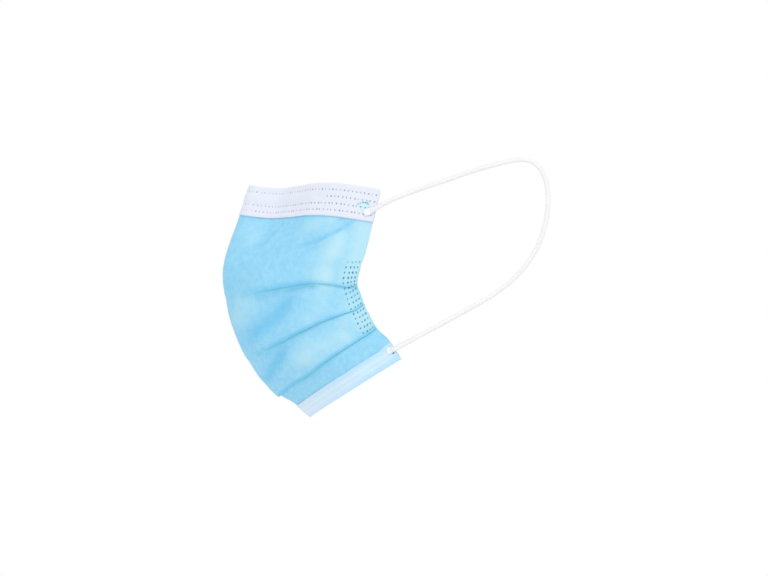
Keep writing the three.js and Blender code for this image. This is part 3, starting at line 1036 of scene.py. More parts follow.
@dataclass
class ChinHem:
    """The pale strip that is folded over the lower edge. Weld rows are shares of its height."""

    sheet: WornSheet
    height: float = 9.3 * MM
    side_growth: float = 1.3 * MM
    wall: float = 0.32 * MM
    reach: float = 0.46 * MM
    puff: float = 0.1 * MM
    cuts: tuple[int, int] = (18, 8)
    weld_rows: tuple[float, ...] = (0.28, 0.56)
    dash_pitch: float = 2.6 * MM

    def height_at(self) -> np.ndarray:
        """Height of the strip at every station, which grows a little towards the side edges."""
        return self.height + self.side_growth * smooth(0.9, 1.0, np.abs(self.sheet.across))

    def build(self, finishes: "Finishes") -> bpy.types.Object:
        """Makes the strip, held flat along its weld rows.

        Args:
            finishes: the mask's finishes.

        Returns:
            The strip.
        """
        total, heights = self.sheet.total, self.height_at()
        across = np.abs(self.sheet.across)[:, None]
        line = folded_strip(total, -1, heights, self.reach, SHEET_RISE, self.cuts)
        share = 1 - (total[:, None] - line[..., 0]) / heights[:, None]
        puff = self.puff * np.ones_like(share)
        tone = np.zeros((*share.shape, 3))
        for row in self.weld_rows:
            puff = puff - self.puff * hump((share - row) * self.height, 0.9 * MM)
            tone[..., 0] += 0.5 * hump((share - row - 0.1) * self.height, 0.6 * MM)
        ends = smooth(0, 0.08, share) * (1 - smooth(0.9, 1, share))
        line[..., 1] += puff * ends * np.sign(line[..., 1] - SHEET_RISE)
        outward = 0.35 + 0.5 * smooth(0.5, 1, across)
        near_top = 0.75 * hump(share * self.height, 1.9 * MM)
        tone[..., 1] = np.maximum(outward * smooth(0.35, 0.95, share), near_top)
        tone[..., 2] = 0.6 * (1 - smooth(0.1, 0.9, across))
        piece = Cloth("hem_band", self.sheet, line, self.wall, tone).build(*[finishes.hem.material()] * 2)
        stand_for(piece, "chin_hem")
        return piece


# Route of the near cord between its two ends, from the nose bridge, listed point by point along its middle.
LOOP_ROUTE = (
    (0.0505, 0.0725, 0.0008),
    (0.0520, 0.0810, 0.0042),
    (0.0538, 0.0915, 0.0079),
    (0.0555, 0.1025, 0.0116),
    (0.0570, 0.1135, 0.0154),
    (0.0583, 0.1245, 0.0186),
    (0.0592, 0.1340, 0.0208),
    (0.0598, 0.1413, 0.0212),
    (0.0602, 0.1473, 0.0182),
    (0.0605, 0.1513, 0.0110),
    (0.0606, 0.1526, 0.0015),
    (0.0606, 0.1516, -0.0095),
    (0.0605, 0.1484, -0.0205),
    (0.0603, 0.1426, -0.0309),
    (0.0600, 0.1340, -0.0405),
    (0.0596, 0.1225, -0.0490),
    (0.0590, 0.1080, -0.0573),
    (0.0582, 0.0925, -0.0658),
)


@dataclass(frozen=True)
class PadSeat:
    """Where one end of a cord is welded: toe and heel, measured from an edge and in from the side."""

    name: str
    from_top: bool
    toe_in: float
    toe_off: float
    heel_off: float


PAD_SEATS = (
    PadSeat("top", True, 5.8 * MM, 13.8 * MM, 10.3 * MM),
    PadSeat("low", False, 4.1 * MM, 7.5 * MM, 6.2 * MM),
)


@dataclass
class EarLoop:
    """One elastic cord with its two flattened, welded ends."""

    sheet: WornSheet
    side: Side
    diameter: float = 2.5 * MM
    pad_width: float = 3.7 * MM
    pad_thickness: float = 0.5 * MM
    pad_clearance: float = 0.75 * MM
    pad_steps: int = 9
    pad_rings: int = 25
    pad_sides: int = 20
    wales: int = 9
    stitch: float = 0.9 * MM
    ring_step: float = 0.25 * MM
    sides: int = 18

    @property
    def word(self) -> str:
        """The side in lower case."""
        return self.side.name.lower()

    def build(self, finishes: "Finishes") -> list[bpy.types.Object]:
        """Args:
            finishes: the mask's finishes.

        Returns:
            The cord, its upper end and its lower end.
        """
        ends = [self.pad_line(seat) for seat in PAD_SEATS]
        route = np.array(LOOP_ROUTE) * [self.side.value, 1, 1]
        whole = np.concatenate([ends[0][0][-1:], route, ends[1][0][-1:]])
        dense = spline(whole, np.linspace(0, 1, 4001))
        lengths = lengths_along(dense)
        path = at_lengths(dense, lengths, np.linspace(0, lengths[-1], int(lengths[-1] / self.ring_step)))
        cord = tube_object(f"elastic_{self.word}", self._cord_rings(path), finishes.elastic.material())
        stand_for(cord, f"ear_loop_{self.word}")
        leaves = (path[3] - path[0], path[-4] - path[-1])
        pads = [self._pad(seat, *end, leave, finishes) for seat, end, leave in zip(PAD_SEATS, ends, leaves)]
        return [cord, *pads]

    def pad_line(self, seat: PadSeat) -> tuple[np.ndarray, np.ndarray]:
        """Lays the middle of a pad on its strip.

        Args:
            seat: where it is welded.

        Returns:
            The middle from toe to heel, and the way that the strip faces at the toe.
        """
        across = np.linspace(1 - seat.toe_in / self.sheet.half_length, 1, self.pad_steps)
        off = np.linspace(seat.toe_off, seat.heel_off, self.pad_steps)
        thickness = self._pad_sizes(np.linspace(0, 1, self.pad_steps))[:, 1]
        lift = SHEET_RISE + self.pad_clearance + thickness / 2
        middle = np.array([self._spot(seat, *spot) for spot in zip(across, off, lift)])
        return middle, unit(middle[0] - self._spot(seat, across[0], off[0], 0))

    def _spot(self, seat: PadSeat, share: float, off: float, height: float) -> np.ndarray:
        """Finds a place near one corner of the sheet, between two stations.

        Args:
            seat: the pad's seat, which says the edge that off is measured from.
            share: how far across it lies, from 0 at the middle to 1 at the side edge.
            off: its length from that edge.
            height: its height off the plain surface.

        Returns:
            The place.
        """
        sheet = self.sheet
        station = (share * self.side.value + 1) / 2 * (sheet.stations - 1)
        low = min(int(station), sheet.stations - 2)
        down = off if seat.from_top else sheet.total[low] - off
        near, far = (
            sheet.read(sheet.points, i, down) + height * sheet.read(sheet.normals, i, down)
            for i in (low, low + 1)
        )
        return near + (station - low) * (far - near) - sheet.origin

    def _pad_sizes(self, along: np.ndarray) -> np.ndarray:
        """Works out a pad's section, from a thin round toe to the cord's own at its heel.

        Args:
            along: shares of its length from the toe.

        Returns:
            Its width and thickness at each.
        """
        toe = np.sqrt(np.clip(1 - (1 - along / 0.22).clip(0, 1) ** 2, 0.02, 1))
        corded = smooth(0.4, 1.0, along)
        width = self.pad_width * toe * (1 - corded) + self.diameter * corded
        thickness = self.pad_thickness * toe**0.5 * (1 - corded) + self.diameter * corded
        return np.stack([width, thickness], axis=-1)

    def _cord_rings(self, path: np.ndarray) -> np.ndarray:
        """Draws rings round the cord, with knitted wales that zigzag a little along it.

        Args:
            path: its middle, as (ring, 3).

        Returns:
            The rings, as (ring, point, 3).
        """
        ahead = unit(np.gradient(path, axis=0))
        wide = unit(np.cross(ahead, [self.side.value, 0.0, 0.0]))
        high = np.cross(wide, ahead)
        angle = np.linspace(0, 2 * math.pi, self.sides, endpoint=False)
        along = lengths_along(path)[:, None]
        rib = np.cos(self.wales * angle)
        stitch = np.sin(2 * math.pi * along / self.stitch + math.pi * (np.arange(self.sides) % 2))
        radius = self.diameter / 2 - 0.06 * MM + 0.04 * MM * rib + 0.03 * MM * stitch
        round_it = np.cos(angle)[:, None] * wide[:, None] + np.sin(angle)[:, None] * high[:, None]
        return path[:, None] + radius[..., None] * round_it

    def _pad(
        self, seat: PadSeat, middle: np.ndarray, facing: np.ndarray, leave: np.ndarray, finishes: "Finishes"
    ) -> bpy.types.Object:
        """Makes one flattened end, pressed across in the weld, whose last ring faces along the cord.

        Args:
            seat: where it is welded.
            middle: its middle from toe to heel.
            facing: the way that its strip faces.
            leave: the way that the cord leaves it.
            finishes: the mask's finishes.

        Returns:
            The end.
        """
        lie, leave = unit(middle[-1] - middle[0]), unit(leave)
        along = np.linspace(0, 1, self.pad_rings)
        angle = np.linspace(0, 2 * math.pi, self.pad_sides, endpoint=False)
        cos, sin = np.cos(angle), np.sin(angle)
        rings = []
        for share, centre, (width, thickness) in zip(along, spline(middle, along), self._pad_sizes(along)):
            ahead = lie + share**2 * (leave - lie)
            wide = unit(np.cross(ahead, facing))
            high = unit(np.cross(wide, ahead))
            squareness = 0.75 + 0.25 * share
            broad = width / 2 * np.sign(cos) * np.abs(cos) ** squareness
            flat = thickness / 2 * np.sign(sin) * np.abs(sin) ** squareness
            waves = 0.07 * MM * np.cos(2 * math.pi * share * 7)
            pressed = waves * (sin > 0.3) * (1 - smooth(0.5, 0.75, share))
            rings.append(centre + broad[:, None] * wide + (flat + pressed)[:, None] * high)
        corner = f"{seat.name}_{self.word}"
        piece = tube_object(f"elastic_end_{corner}", np.array(rings), finishes.elastic_end.material())
        stand_for(piece, f"loop_end_{corner}")
        return piece


def set_inputs(tree: bpy.types.NodeTree, target: bpy.types.Node, inputs: dict) -> None:
    """Sets a node's sockets.

    Args:
        tree: the tree that it is in.
        target: the node.
        inputs: socket name or number to a value, or to the output socket that feeds it.
    """
    for key, value in inputs.items():
        if isinstance(value, bpy.types.NodeSocket):
            tree.links.new(value, target.inputs[key])
        else:
            target.inputs[key].default_value = value


def node(
    tree: bpy.types.NodeTree, kind: str, inputs: dict | None = None, **settings: object
) -> bpy.types.Node:
    """Adds a node.

    Args:
        tree: where it goes.
        kind: its type.
        inputs: what its sockets get, as set_inputs takes it.
        settings: its other properties.

    Returns:
        The node.
    """
    made = tree.nodes.new(kind)
    for key, value in settings.items():
        setattr(made, key, value)
    set_inputs(tree, made, inputs or {})
    return made


def group(name: str, kind: str, inputs: dict[str, str], outputs: dict[str, str]) -> bpy.types.NodeTree:
    """Makes an empty node group with named sockets.

    Args:
        name: its name.
        kind: its type.
        inputs: name to socket type.
        outputs: name to socket type.

    Returns:
        The group.
    """
    tree = bpy.data.node_groups.new(name, kind)
    for way, sockets in (("INPUT", inputs), ("OUTPUT", outputs)):
        for label, socket in sockets.items():
            tree.interface.new_socket(name=label, in_out=way, socket_type=socket)
    return tree


def math_node(tree: bpy.types.NodeTree, operation: str, *values: object) -> bpy.types.NodeSocket:
    """Adds a Math node and gives its result."""
    return node(tree, "ShaderNodeMath", dict(enumerate(values)), operation=operation).outputs[0]


def mix_colour(
    tree: bpy.types.NodeTree, factor: object, first: object, second: object
) -> bpy.types.NodeSocket:
    """Adds a colour mix and gives its result."""
    return node(tree, "ShaderNodeMix", {0: factor, 6: first, 7: second}, data_type="RGBA").outputs[2]


def noise(
    tree: bpy.types.NodeTree, place: bpy.types.NodeSocket, scale: object, detail: float, **more: float
) -> bpy.types.NodeSocket:
    """Adds a noise texture and gives its value."""
    inputs = {"Vector": place, "Scale": scale, "Detail": detail}
    inputs |= {key.title(): value for key, value in more.items()}
    return node(tree, "ShaderNodeTexNoise", inputs).outputs["Fac"]


def object_place(tree: bpy.types.NodeTree) -> bpy.types.NodeSocket:
    """Adds the object coordinates."""
    return node(tree, "ShaderNodeTexCoord").outputs["Object"]


def bumped(
    tree: bpy.types.NodeTree, height: bpy.types.NodeSocket, strength: float, deep: float
) -> bpy.types.NodeSocket:
    """Adds a bump and gives its normal."""
    inputs = {"Strength": strength, "Distance": deep, "Height": height}
    return node(tree, "ShaderNodeBump", inputs).outputs[0]


class SharedTree:
    """A node tree that is built once and then found by its name."""

    NAME = ""

    @classmethod
    def tree(cls) -> bpy.types.NodeTree:
        """Gives the tree, made once."""
        found = bpy.data.node_groups.get(cls.NAME)
        return found if found else cls._make()

    @classmethod
    def _make(cls) -> bpy.types.NodeTree:
        """Builds the tree."""
        raise NotImplementedError


class SpunWeb(SharedTree):
    """Shader node group: the cloudy fibre web and the point bonds of spun cloth."""

    NAME = "spun web"
    SIZES = {"Cloud scale": 330.0, "Fibre scale": 1500.0, "Bond pitch": 1.5 * MM}
    OUTPUTS = ("Cloud", "Fibre", "Bond", "Height")

    @classmethod
    def lay(cls, tree: bpy.types.NodeTree, inputs: dict | None = None) -> bpy.types.bpy_prop_collection:
        """Places the group in a material, on object coordinates, and gives its outputs."""
        feeds = cls.SIZES | {"Place": object_place(tree)} | (inputs or {})
        return node(tree, "ShaderNodeGroup", feeds, node_tree=cls.tree()).outputs

    @classmethod
    def _make(cls) -> bpy.types.NodeTree:
        """Builds the group.

        Returns:
            The group.
        """
        sockets = {"Place": "NodeSocketVector", "Cloth map": "NodeSocketVector"}
        sockets |= dict.fromkeys(cls.SIZES, "NodeSocketFloat")
        tree = group(cls.NAME, "ShaderNodeTree", sockets, dict.fromkeys(cls.OUTPUTS, "NodeSocketFloat"))
        given = node(tree, "NodeGroupInput").outputs
        cloud = noise(tree, given["Place"], given["Cloud scale"], 4.0, roughness=0.6)
        fibre = noise(tree, given["Place"], given["Fibre scale"], 5.0, roughness=0.7, distortion=2.2)
        bond = cls._bonds(tree, given)
        height = math_node(tree, "MULTIPLY_ADD", fibre, 0.6, math_node(tree, "MULTIPLY", bond, -0.7))
        node(tree, "NodeGroupOutput", dict(zip(cls.OUTPUTS, (cloud, fibre, bond, height))))
        return tree

    @staticmethod
    def _bonds(tree: bpy.types.NodeTree, given: bpy.types.bpy_prop_collection) -> bpy.types.NodeSocket:
        """Draws a staggered grid of small pressed diamonds.

        Args:
            tree: the group.
            given: its inputs.

        Returns:
            1 in a diamond and 0 between them.
        """
        parts = node(tree, "ShaderNodeSeparateXYZ", {0: given["Cloth map"]}).outputs
        nearest = []
        for shift in (0.0, 0.5):
            offs = []
            for axis in ("X", "Y"):
                cells = math_node(tree, "DIVIDE", parts[axis], given["Bond pitch"])
                share = math_node(tree, "FRACT", math_node(tree, "ADD", cells, shift))
                offs.append(math_node(tree, "ABSOLUTE", math_node(tree, "SUBTRACT", share, 0.5)))
            nearest.append(math_node(tree, "ADD", *offs))
        best = math_node(tree, "MINIMUM", *nearest)
        return node(tree, "ShaderNodeMapRange", {"Value": best, 1: 0.16, 2: 0.28, 3: 1.0, 4: 0.0}).outputs[0]


@dataclass(frozen=True)
class Finish:
    """A named finish, whose material is made once."""

    name: str

    def material(self) -> bpy.types.Material:
        """Gives the material, made once."""
        found = bpy.data.materials.get(self.name)
        return found if found else self._make()

    def _make(self) -> bpy.types.Material:
        """Makes the material.

        Returns:
            The material, dressed with this finish's own nodes.
        """
        made = bpy.data.materials.new(self.name)
        made.use_nodes = True
        tree = made.node_tree
        set_inputs(tree, tree.nodes["Principled BSDF"], self._dress(tree))
        return made

    def _dress(self, tree: bpy.types.NodeTree) -> dict:
        """Adds this finish's nodes and gives what the shader's sockets get."""
        raise NotImplementedError


@dataclass(frozen=True)
class ClothFinish(Finish):
    """Spun cloth. Fold, layer and seam are the colours where the tone attribute says 1, and they paint light
    and shade as well as the cloth's own tints.
    """

    base: Colour
    thin: Colour
    # Fold: painted light and shade in the pleats and along the binding's lower edge, the hem's paler lines,
    # and a slight tint on the bond points.
    fold: Colour
    # Layer: painted shade in valleys, along the side edges and above the folds; on the hem it makes the cloth
    # bluer towards its lower edge, its sides and its top.
    layer: Colour
    # Seam: the side seam's own paler colour, and the painted highlight on swellings.
    seam: Colour
    mottle: float = 0.35
    bump: float = 0.5
    roughness: float = 0.78
    sheen: float = 0.04

    def _dress(self, tree: bpy.types.NodeTree) -> dict:
        """Lays the spun web, and mixes the colours by the cloth's tone.

        Args:
            tree: the material's nodes.

        Returns:
            What the shader's sockets get.
        """
        flat = node(tree, "ShaderNodeUVMap", uv_map=CLOTH_MAP).outputs["UV"]
        web = SpunWeb.lay(tree, {"Cloth map": flat})
        tone = node(tree, "ShaderNodeAttribute", attribute_name="tone").outputs["Color"]
        weights = node(tree, "ShaderNodeSeparateColor", {0: tone}).outputs
        cloud = node(tree, "ShaderNodeMapRange", {"Value": web["Cloud"], 1: 0.35, 2: 0.68}).outputs[0]
        mottle = math_node(tree, "MULTIPLY", cloud, self.mottle)
        colour = mix_colour(tree, mottle, (*self.base, 1), (*self.thin, 1))
        # Green lays the painted shade, blue the seam and the painted highlight, red the painted light and
        # shade of folds and edges, and last a tint on the bond points.
        for weight, over in (
            (weights["Green"], self.layer),
            (weights["Blue"], self.seam),
            (weights["Red"], self.fold),
            (math_node(tree, "MULTIPLY", web["Bond"], 0.04), self.fold),
        ):
            colour = mix_colour(tree, weight, colour, (*over, 1))
        return {
            "Base Color": colour,
            "Roughness": math_node(tree, "MULTIPLY_ADD", web["Fibre"], 0.2, self.roughness - 0.1),
            "Sheen Weight": self.sheen,
            "Sheen Roughness": 0.5,
            "Specular IOR Level": 0.3,
            "Normal": bumped(tree, web["Height"], self.bump, 0.12 * MM),
        }


@dataclass(frozen=True)
class KnitFinish(Finish):
    """Knitted elastic, by its own map of metres round and along the cord."""

    base: Colour
    gap_shade_and_soil: Colour
    roughness: float = 0.7
    wale: float = 0.8 * MM
    stitch: float = 0.75 * MM

    def _dress(self, tree: bpy.types.NodeTree) -> dict:
        """Knits the stitches, paints shade between them, and soils the yarn a little.

        Args:
            tree: the material's nodes.

        Returns:
            What the shader's sockets get.
        """
        place = object_place(tree)
        yarn = noise(tree, place, 2600.0, 3.0)
        soil = noise(tree, place, 120.0, 2.0)
        stitch = self._stitches(tree)
        share = math_node(tree, "MULTIPLY", soil, 0.25)
        # Painted shade between the stitches, on top of the soil.
        share = math_node(tree, "MULTIPLY_ADD", math_node(tree, "SUBTRACT", 1.0, stitch), 0.55, share)
        return {
            "Base Color": mix_colour(tree, share, (*self.base, 1), (*self.gap_shade_and_soil, 1)),
            "Roughness": self.roughness,
            "Sheen Weight": 0.2,
            "Normal": bumped(tree, math_node(tree, "MULTIPLY_ADD", yarn, 0.3, stitch), 0.5, 0.14 * MM),
        }

    def _stitches(self, tree: bpy.types.NodeTree) -> bpy.types.NodeSocket:
        """Draws rows of slanted stitches that meet in a V on each wale.

        Args:
            tree: the material's nodes.

        Returns:
            1 on a stitch and 0 between them.
        """
        flat = node(tree, "ShaderNodeUVMap", uv_map=CLOTH_MAP).outputs["UV"]
        parts = node(tree, "ShaderNodeSeparateXYZ", {0: flat}).outputs
        wales = math_node(tree, "DIVIDE", parts["X"], self.wale)
        slant = math_node(tree, "PINGPONG", wales, 0.5)
        rows = math_node(tree, "DIVIDE", parts["Y"], self.stitch)
        phase = math_node(tree, "MULTIPLY_ADD", slant, 1.3, rows)
        wave = math_node(tree, "SINE", math_node(tree, "MULTIPLY", phase, 2 * math.pi))
        between = math_node(tree, "ABSOLUTE", math_node(tree, "SUBTRACT", slant, 0.25))
        lift = math_node(tree, "MULTIPLY_ADD", between, -2.0, 0.6)
        return math_node(tree, "MULTIPLY_ADD", wave, 0.35, lift)


@dataclass(frozen=True)
class WeldFinish(Finish):
    """Fused cloth in a weld mark: glassy and dark in its pit, pale on its rim."""

    pit: Colour
    rim: Colour

    def _dress(self, tree: bpy.types.NodeTree) -> dict:
        """Darkens and smooths each mark by how far it is melted and pressed.

        Args:
            tree: the material's nodes.

        Returns:
            What the shader's sockets get.
        """
        melt, press = (node(tree, "ShaderNodeAttribute", attribute_name=name) for name in ("melt", "press"))
        share = math_node(tree, "MULTIPLY", melt.outputs["Fac"], press.outputs["Fac"])
        return {
            "Base Color": mix_colour(tree, share, (*self.rim, 1), (*self.pit, 1)),
            "Roughness": math_node(tree, "MULTIPLY_ADD", share, -0.35, 0.75),
            "Normal": bumped(tree, SpunWeb.lay(tree)["Fibre"], 0.5, 0.12 * MM),
        }


@dataclass(frozen=True)
class PlainFinish(Finish):
    """A smooth coated finish with slight clouding."""

    base: Colour
    shade: Colour
    roughness: float

    def _dress(self, tree: bpy.types.NodeTree) -> dict:
        """Clouds the colour, and gives what the shader's sockets get."""
        cloud = noise(tree, object_place(tree), 300.0, 3.0)
        colour = mix_colour(tree, cloud, (*self.base, 1), (*self.shade, 1))
        return {"Base Color": colour, "Roughness": self.roughness}


@dataclass(frozen=True)
class Finishes:
    """All the finishes of the mask."""

    # The blue cloth's fold colour is painted light in the pleats' gaps, its layer colour painted shade, and
    # its seam colour also the painted highlight.
    blue: ClothFinish = ClothFinish(
        "blue spun cloth",
        base=(0.27, 0.64, 0.90),
        thin=(0.42, 0.77, 0.93),
        fold=(0.26, 0.78, 0.91),
        layer=(0.14, 0.55, 0.86),
        seam=(0.50, 0.79, 0.90),
        mottle=0.5,
    )
    # On the lining, fold and layer are painted shade.
    lining: ClothFinish = ClothFinish(
        "white lining cloth",
        base=(0.88, 0.90, 0.92),
        thin=(0.80, 0.87, 0.92),
        fold=(0.79, 0.85, 0.89),
        layer=(0.85, 0.87, 0.89),
        seam=(0.74, 0.86, 0.90),
    )
    # On the binding, fold is painted shade along its lower edge, and seam is the blue under the pressed spot.
    white: ClothFinish = ClothFinish(
        "white binding cloth",
        base=(0.795, 0.825, 0.92),
        thin=(0.73, 0.79, 0.91),
        fold=(0.70, 0.78, 0.92),
        layer=(0.84, 0.87, 0.95),
        seam=(0.55, 0.88, 0.92),
    )
    hem: ClothFinish = ClothFinish(
        "pale hem cloth",
        base=(0.58, 0.82, 0.98),
        thin=(0.52, 0.79, 0.98),
        fold=(0.76, 0.88, 0.98),
        layer=(0.46, 0.75, 0.98),
        seam=(0.76, 0.84, 0.95),
    )
    elastic: KnitFinish = KnitFinish(
        "white knitted elastic", base=(0.94, 0.94, 0.945), gap_shade_and_soil=(0.895, 0.895, 0.905)
    )
    elastic_end: KnitFinish = KnitFinish("pressed elastic", base=(0.93, 0.925, 0.965), gap_shade_and_soil=(0.90, 0.89, 0.95))
    side_weld: WeldFinish = WeldFinish("fused blue cloth", pit=(0.03, 0.25, 0.36), rim=(0.40, 0.76, 0.92))
    corner_weld: WeldFinish = WeldFinish("fused corner cloth", pit=(0.06, 0.24, 0.33), rim=(0.58, 0.83, 0.90))
    band_weld: WeldFinish = WeldFinish("fused white cloth", pit=(0.21, 0.34, 0.46), rim=(0.82, 0.85, 0.93))
    hem_weld: WeldFinish = WeldFinish("fused pale cloth", pit=(0.42, 0.62, 0.82), rim=(0.72, 0.87, 0.98))
    wire: PlainFinish = PlainFinish("wire coating", (0.85, 0.85, 0.84), (0.78, 0.78, 0.78), 0.45)


@dataclass(frozen=True)
class Mark:
    """One weld mark: its place, the way it faces, the way it is stretched and how deep it is pressed."""

    place: np.ndarray
    facing: np.ndarray
    along: np.ndarray
    press: float


@dataclass
class WeldMarks:
    """A field of small pressed weld marks, set on a piece of cloth by Geometry Nodes.

    Stretch is how much longer a mark is than wide, and search_mm how many millimetres off a mark's place the
    cloth may lie.
    """

    name: str
    target: bpy.types.Object
    finish: WeldFinish
    slot: str
    radius: float
    stretch: float = 1.0
    rim_height: float = 0.05 * MM
    search_mm: float = 6
    seed: int = 7
    marks: list[Mark] = field(default_factory=list)
    surface: BVHTree = field(init=False)

    def __post_init__(self) -> None:
        """Readies the target's mesh for casting rays."""
        mesh = self.target.data
        corners = [v.co.copy() for v in mesh.vertices]
        self.surface = BVHTree.FromPolygons(corners, [tuple(p.vertices) for p in mesh.polygons])

    def press(self, place: np.ndarray, facing: np.ndarray, along: np.ndarray, strength: float) -> None:
        """Adds a mark where a line through place meets the cloth from the side that facing names.

        Args:
            place: a place near the cloth.
            facing: the way that the mark looks.
            along: the way that it is stretched.
            strength: how deep it is pressed.
        """
        away = Vector(facing).normalized()
        start = Vector(place) + away * self.search_mm * MM
        hit, normal, _, _ = self.surface.ray_cast(start, -away, 2 * self.search_mm * MM)
        if hit is not None and normal.dot(away) >= 0.2:
            self.marks.append(Mark(np.array(hit), np.array(normal), along, strength))

    def build(self) -> bpy.types.Object:
        """Makes the marks as one plain mesh.

        Returns:
            The piece.
        """
        mesh = bpy.data.meshes.new(self.name)
        mesh.from_pydata([tuple(mark.place) for mark in self.marks], [], [])
        for label in ("facing", "along"):
            layer = mesh.attributes.new(label, "FLOAT_VECTOR", "POINT")
            vectors = np.array([getattr(mark, label) for mark in self.marks], float)
            layer.data.foreach_set("vector", vectors.ravel())
        layer = mesh.attributes.new("press", "FLOAT", "POINT")
        layer.data.foreach_set("value", np.array([mark.press for mark in self.marks], float))
        piece = add_object(self.name, mesh)
        tree = CraterTree.tree()
        modifier = piece.modifiers.new("marks", "NODES")
        modifier.node_group = tree
        sizes = {
            "Radius": self.radius,
            "Rim height": self.rim_height,
            "Stretch": self.stretch,
            "Seed": self.seed,
            "Material": self.finish.material(),
        }
        for item in tree.interface.items_tree:
            if item.item_type == "SOCKET" and item.in_out == "INPUT" and item.name in sizes:
                modifier[item.identifier] = sizes[item.name]
        evaluated = piece.evaluated_get(bpy.context.evaluated_depsgraph_get())
        plain = bpy.data.meshes.new_from_object(evaluated)
        piece.modifiers.clear()
        piece.data = plain
        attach(piece, BODY)
        return piece


class CraterTree(SharedTree):
    """Geometry Nodes tree: a small crater, pit in the middle and rim round it, on each point."""

    NAME = "weld craters"
    INPUTS = {
        "Points": "NodeSocketGeometry",
        "Radius": "NodeSocketFloat",
        "Rim height": "NodeSocketFloat",
        "Stretch": "NodeSocketFloat",
        "Seed": "NodeSocketInt",
        "Material": "NodeSocketMaterial",
    }

    @classmethod
    def _make(cls) -> bpy.types.NodeTree:
        """Builds the tree.

        Returns:
            The tree.
        """
        tree = group(cls.NAME, "GeometryNodeTree", cls.INPUTS, {"Marks": "NodeSocketGeometry"})
        given = node(tree, "NodeGroupInput").outputs
        crater = cls._crater(tree, given)
        facing, along = (
            node(tree, "GeometryNodeInputNamedAttribute", {"Name": name}, data_type="FLOAT_VECTOR").outputs[0]
            for name in ("facing", "along")
        )
        turn = "FunctionNodeAlignRotationToVector"
        upright = node(tree, turn, {"Vector": facing}, axis="Z").outputs[0]
        turned = node(tree, turn, {"Rotation": upright, "Vector": along}, axis="X", pivot_axis="Z").outputs[0]
        chance = {"Seed": given["Seed"], 2: 0.85, 3: 1.15}
        wide = node(tree, "FunctionNodeRandomValue", chance, data_type="FLOAT").outputs[1]
        long = math_node(tree, "MULTIPLY", wide, given["Stretch"])
        size = node(tree, "ShaderNodeCombineXYZ", {0: long, 1: wide, 2: 1.0}).outputs[0]
        placed = node(
            tree,
            "GeometryNodeInstanceOnPoints",
            {"Points": given["Points"], "Instance": crater, "Rotation": turned, "Scale": size},
        )
        real = node(tree, "GeometryNodeRealizeInstances", {0: placed.outputs[0]}).outputs[0]
        dressed = node(tree, "GeometryNodeSetMaterial", {"Geometry": real, "Material": given["Material"]})
        node(tree, "NodeGroupOutput", {0: dressed.outputs[0]})
        return tree

    @staticmethod
    def _crater(tree: bpy.types.NodeTree, given: bpy.types.bpy_prop_collection) -> bpy.types.NodeSocket:
        """Presses a disc of four rings into a pit with a rim, and stores its melt from 0 to 1.

        Args:
            tree: the tree.
            given: its inputs.

        Returns:
            The crater.
        """
        sizes = {"Vertices": 10, "Side Segments": 4, "Radius Top": 0.0, "Radius Bottom": given["Radius"]}
        disc = node(tree, "GeometryNodeMeshCone", sizes | {"Depth": 0.0001 * MM}, fill_type="NONE")
        place = node(tree, "GeometryNodeInputPosition").outputs[0]
        spread = node(tree, "ShaderNodeVectorMath", {0: place, 1: (1, 1, 0)}, operation="MULTIPLY").outputs[0]
        far = node(tree, "ShaderNodeVectorMath", {0: spread}, operation="LENGTH").outputs["Value"]
        share = math_node(tree, "DIVIDE", far, given["Radius"])
        off = math_node(tree, "SUBTRACT", share, 0.75)
        square = math_node(tree, "MULTIPLY", off, off)
        bell = math_node(tree, "EXPONENT", math_node(tree, "MULTIPLY", square, -22.0))
        rise = math_node(tree, "MULTIPLY", bell, given["Rim height"])
        skirt = {"Value": share, 1: 0.75, 2: 1.0, 3: 0.03 * MM, 4: -0.12 * MM}
        lift = math_node(tree, "ADD", rise, node(tree, "ShaderNodeMapRange", skirt).outputs[0])
        lifted = node(tree, "ShaderNodeCombineXYZ", {2: lift}).outputs[0]
        target = node(tree, "ShaderNodeVectorMath", {0: spread, 1: lifted}, operation="ADD").outputs[0]
        shaped = node(tree, "GeometryNodeSetPosition", {"Geometry": disc.outputs["Mesh"], "Position": target})
        melt = node(tree, "ShaderNodeMapRange", {"Value": share, 1: 0.5, 2: 0.8, 3: 1.0, 4: 0.0})
        stored = node(
            tree,
            "GeometryNodeStoreNamedAttribute",
            {"Geometry": shaped.outputs[0], "Name": "melt", "Value": melt.outputs[0]},
            data_type="FLOAT",
            domain="POINT",
        )
        return node(tree, "GeometryNodeSetShadeSmooth", {"Geometry": stored.outputs[0]}).outputs[0]


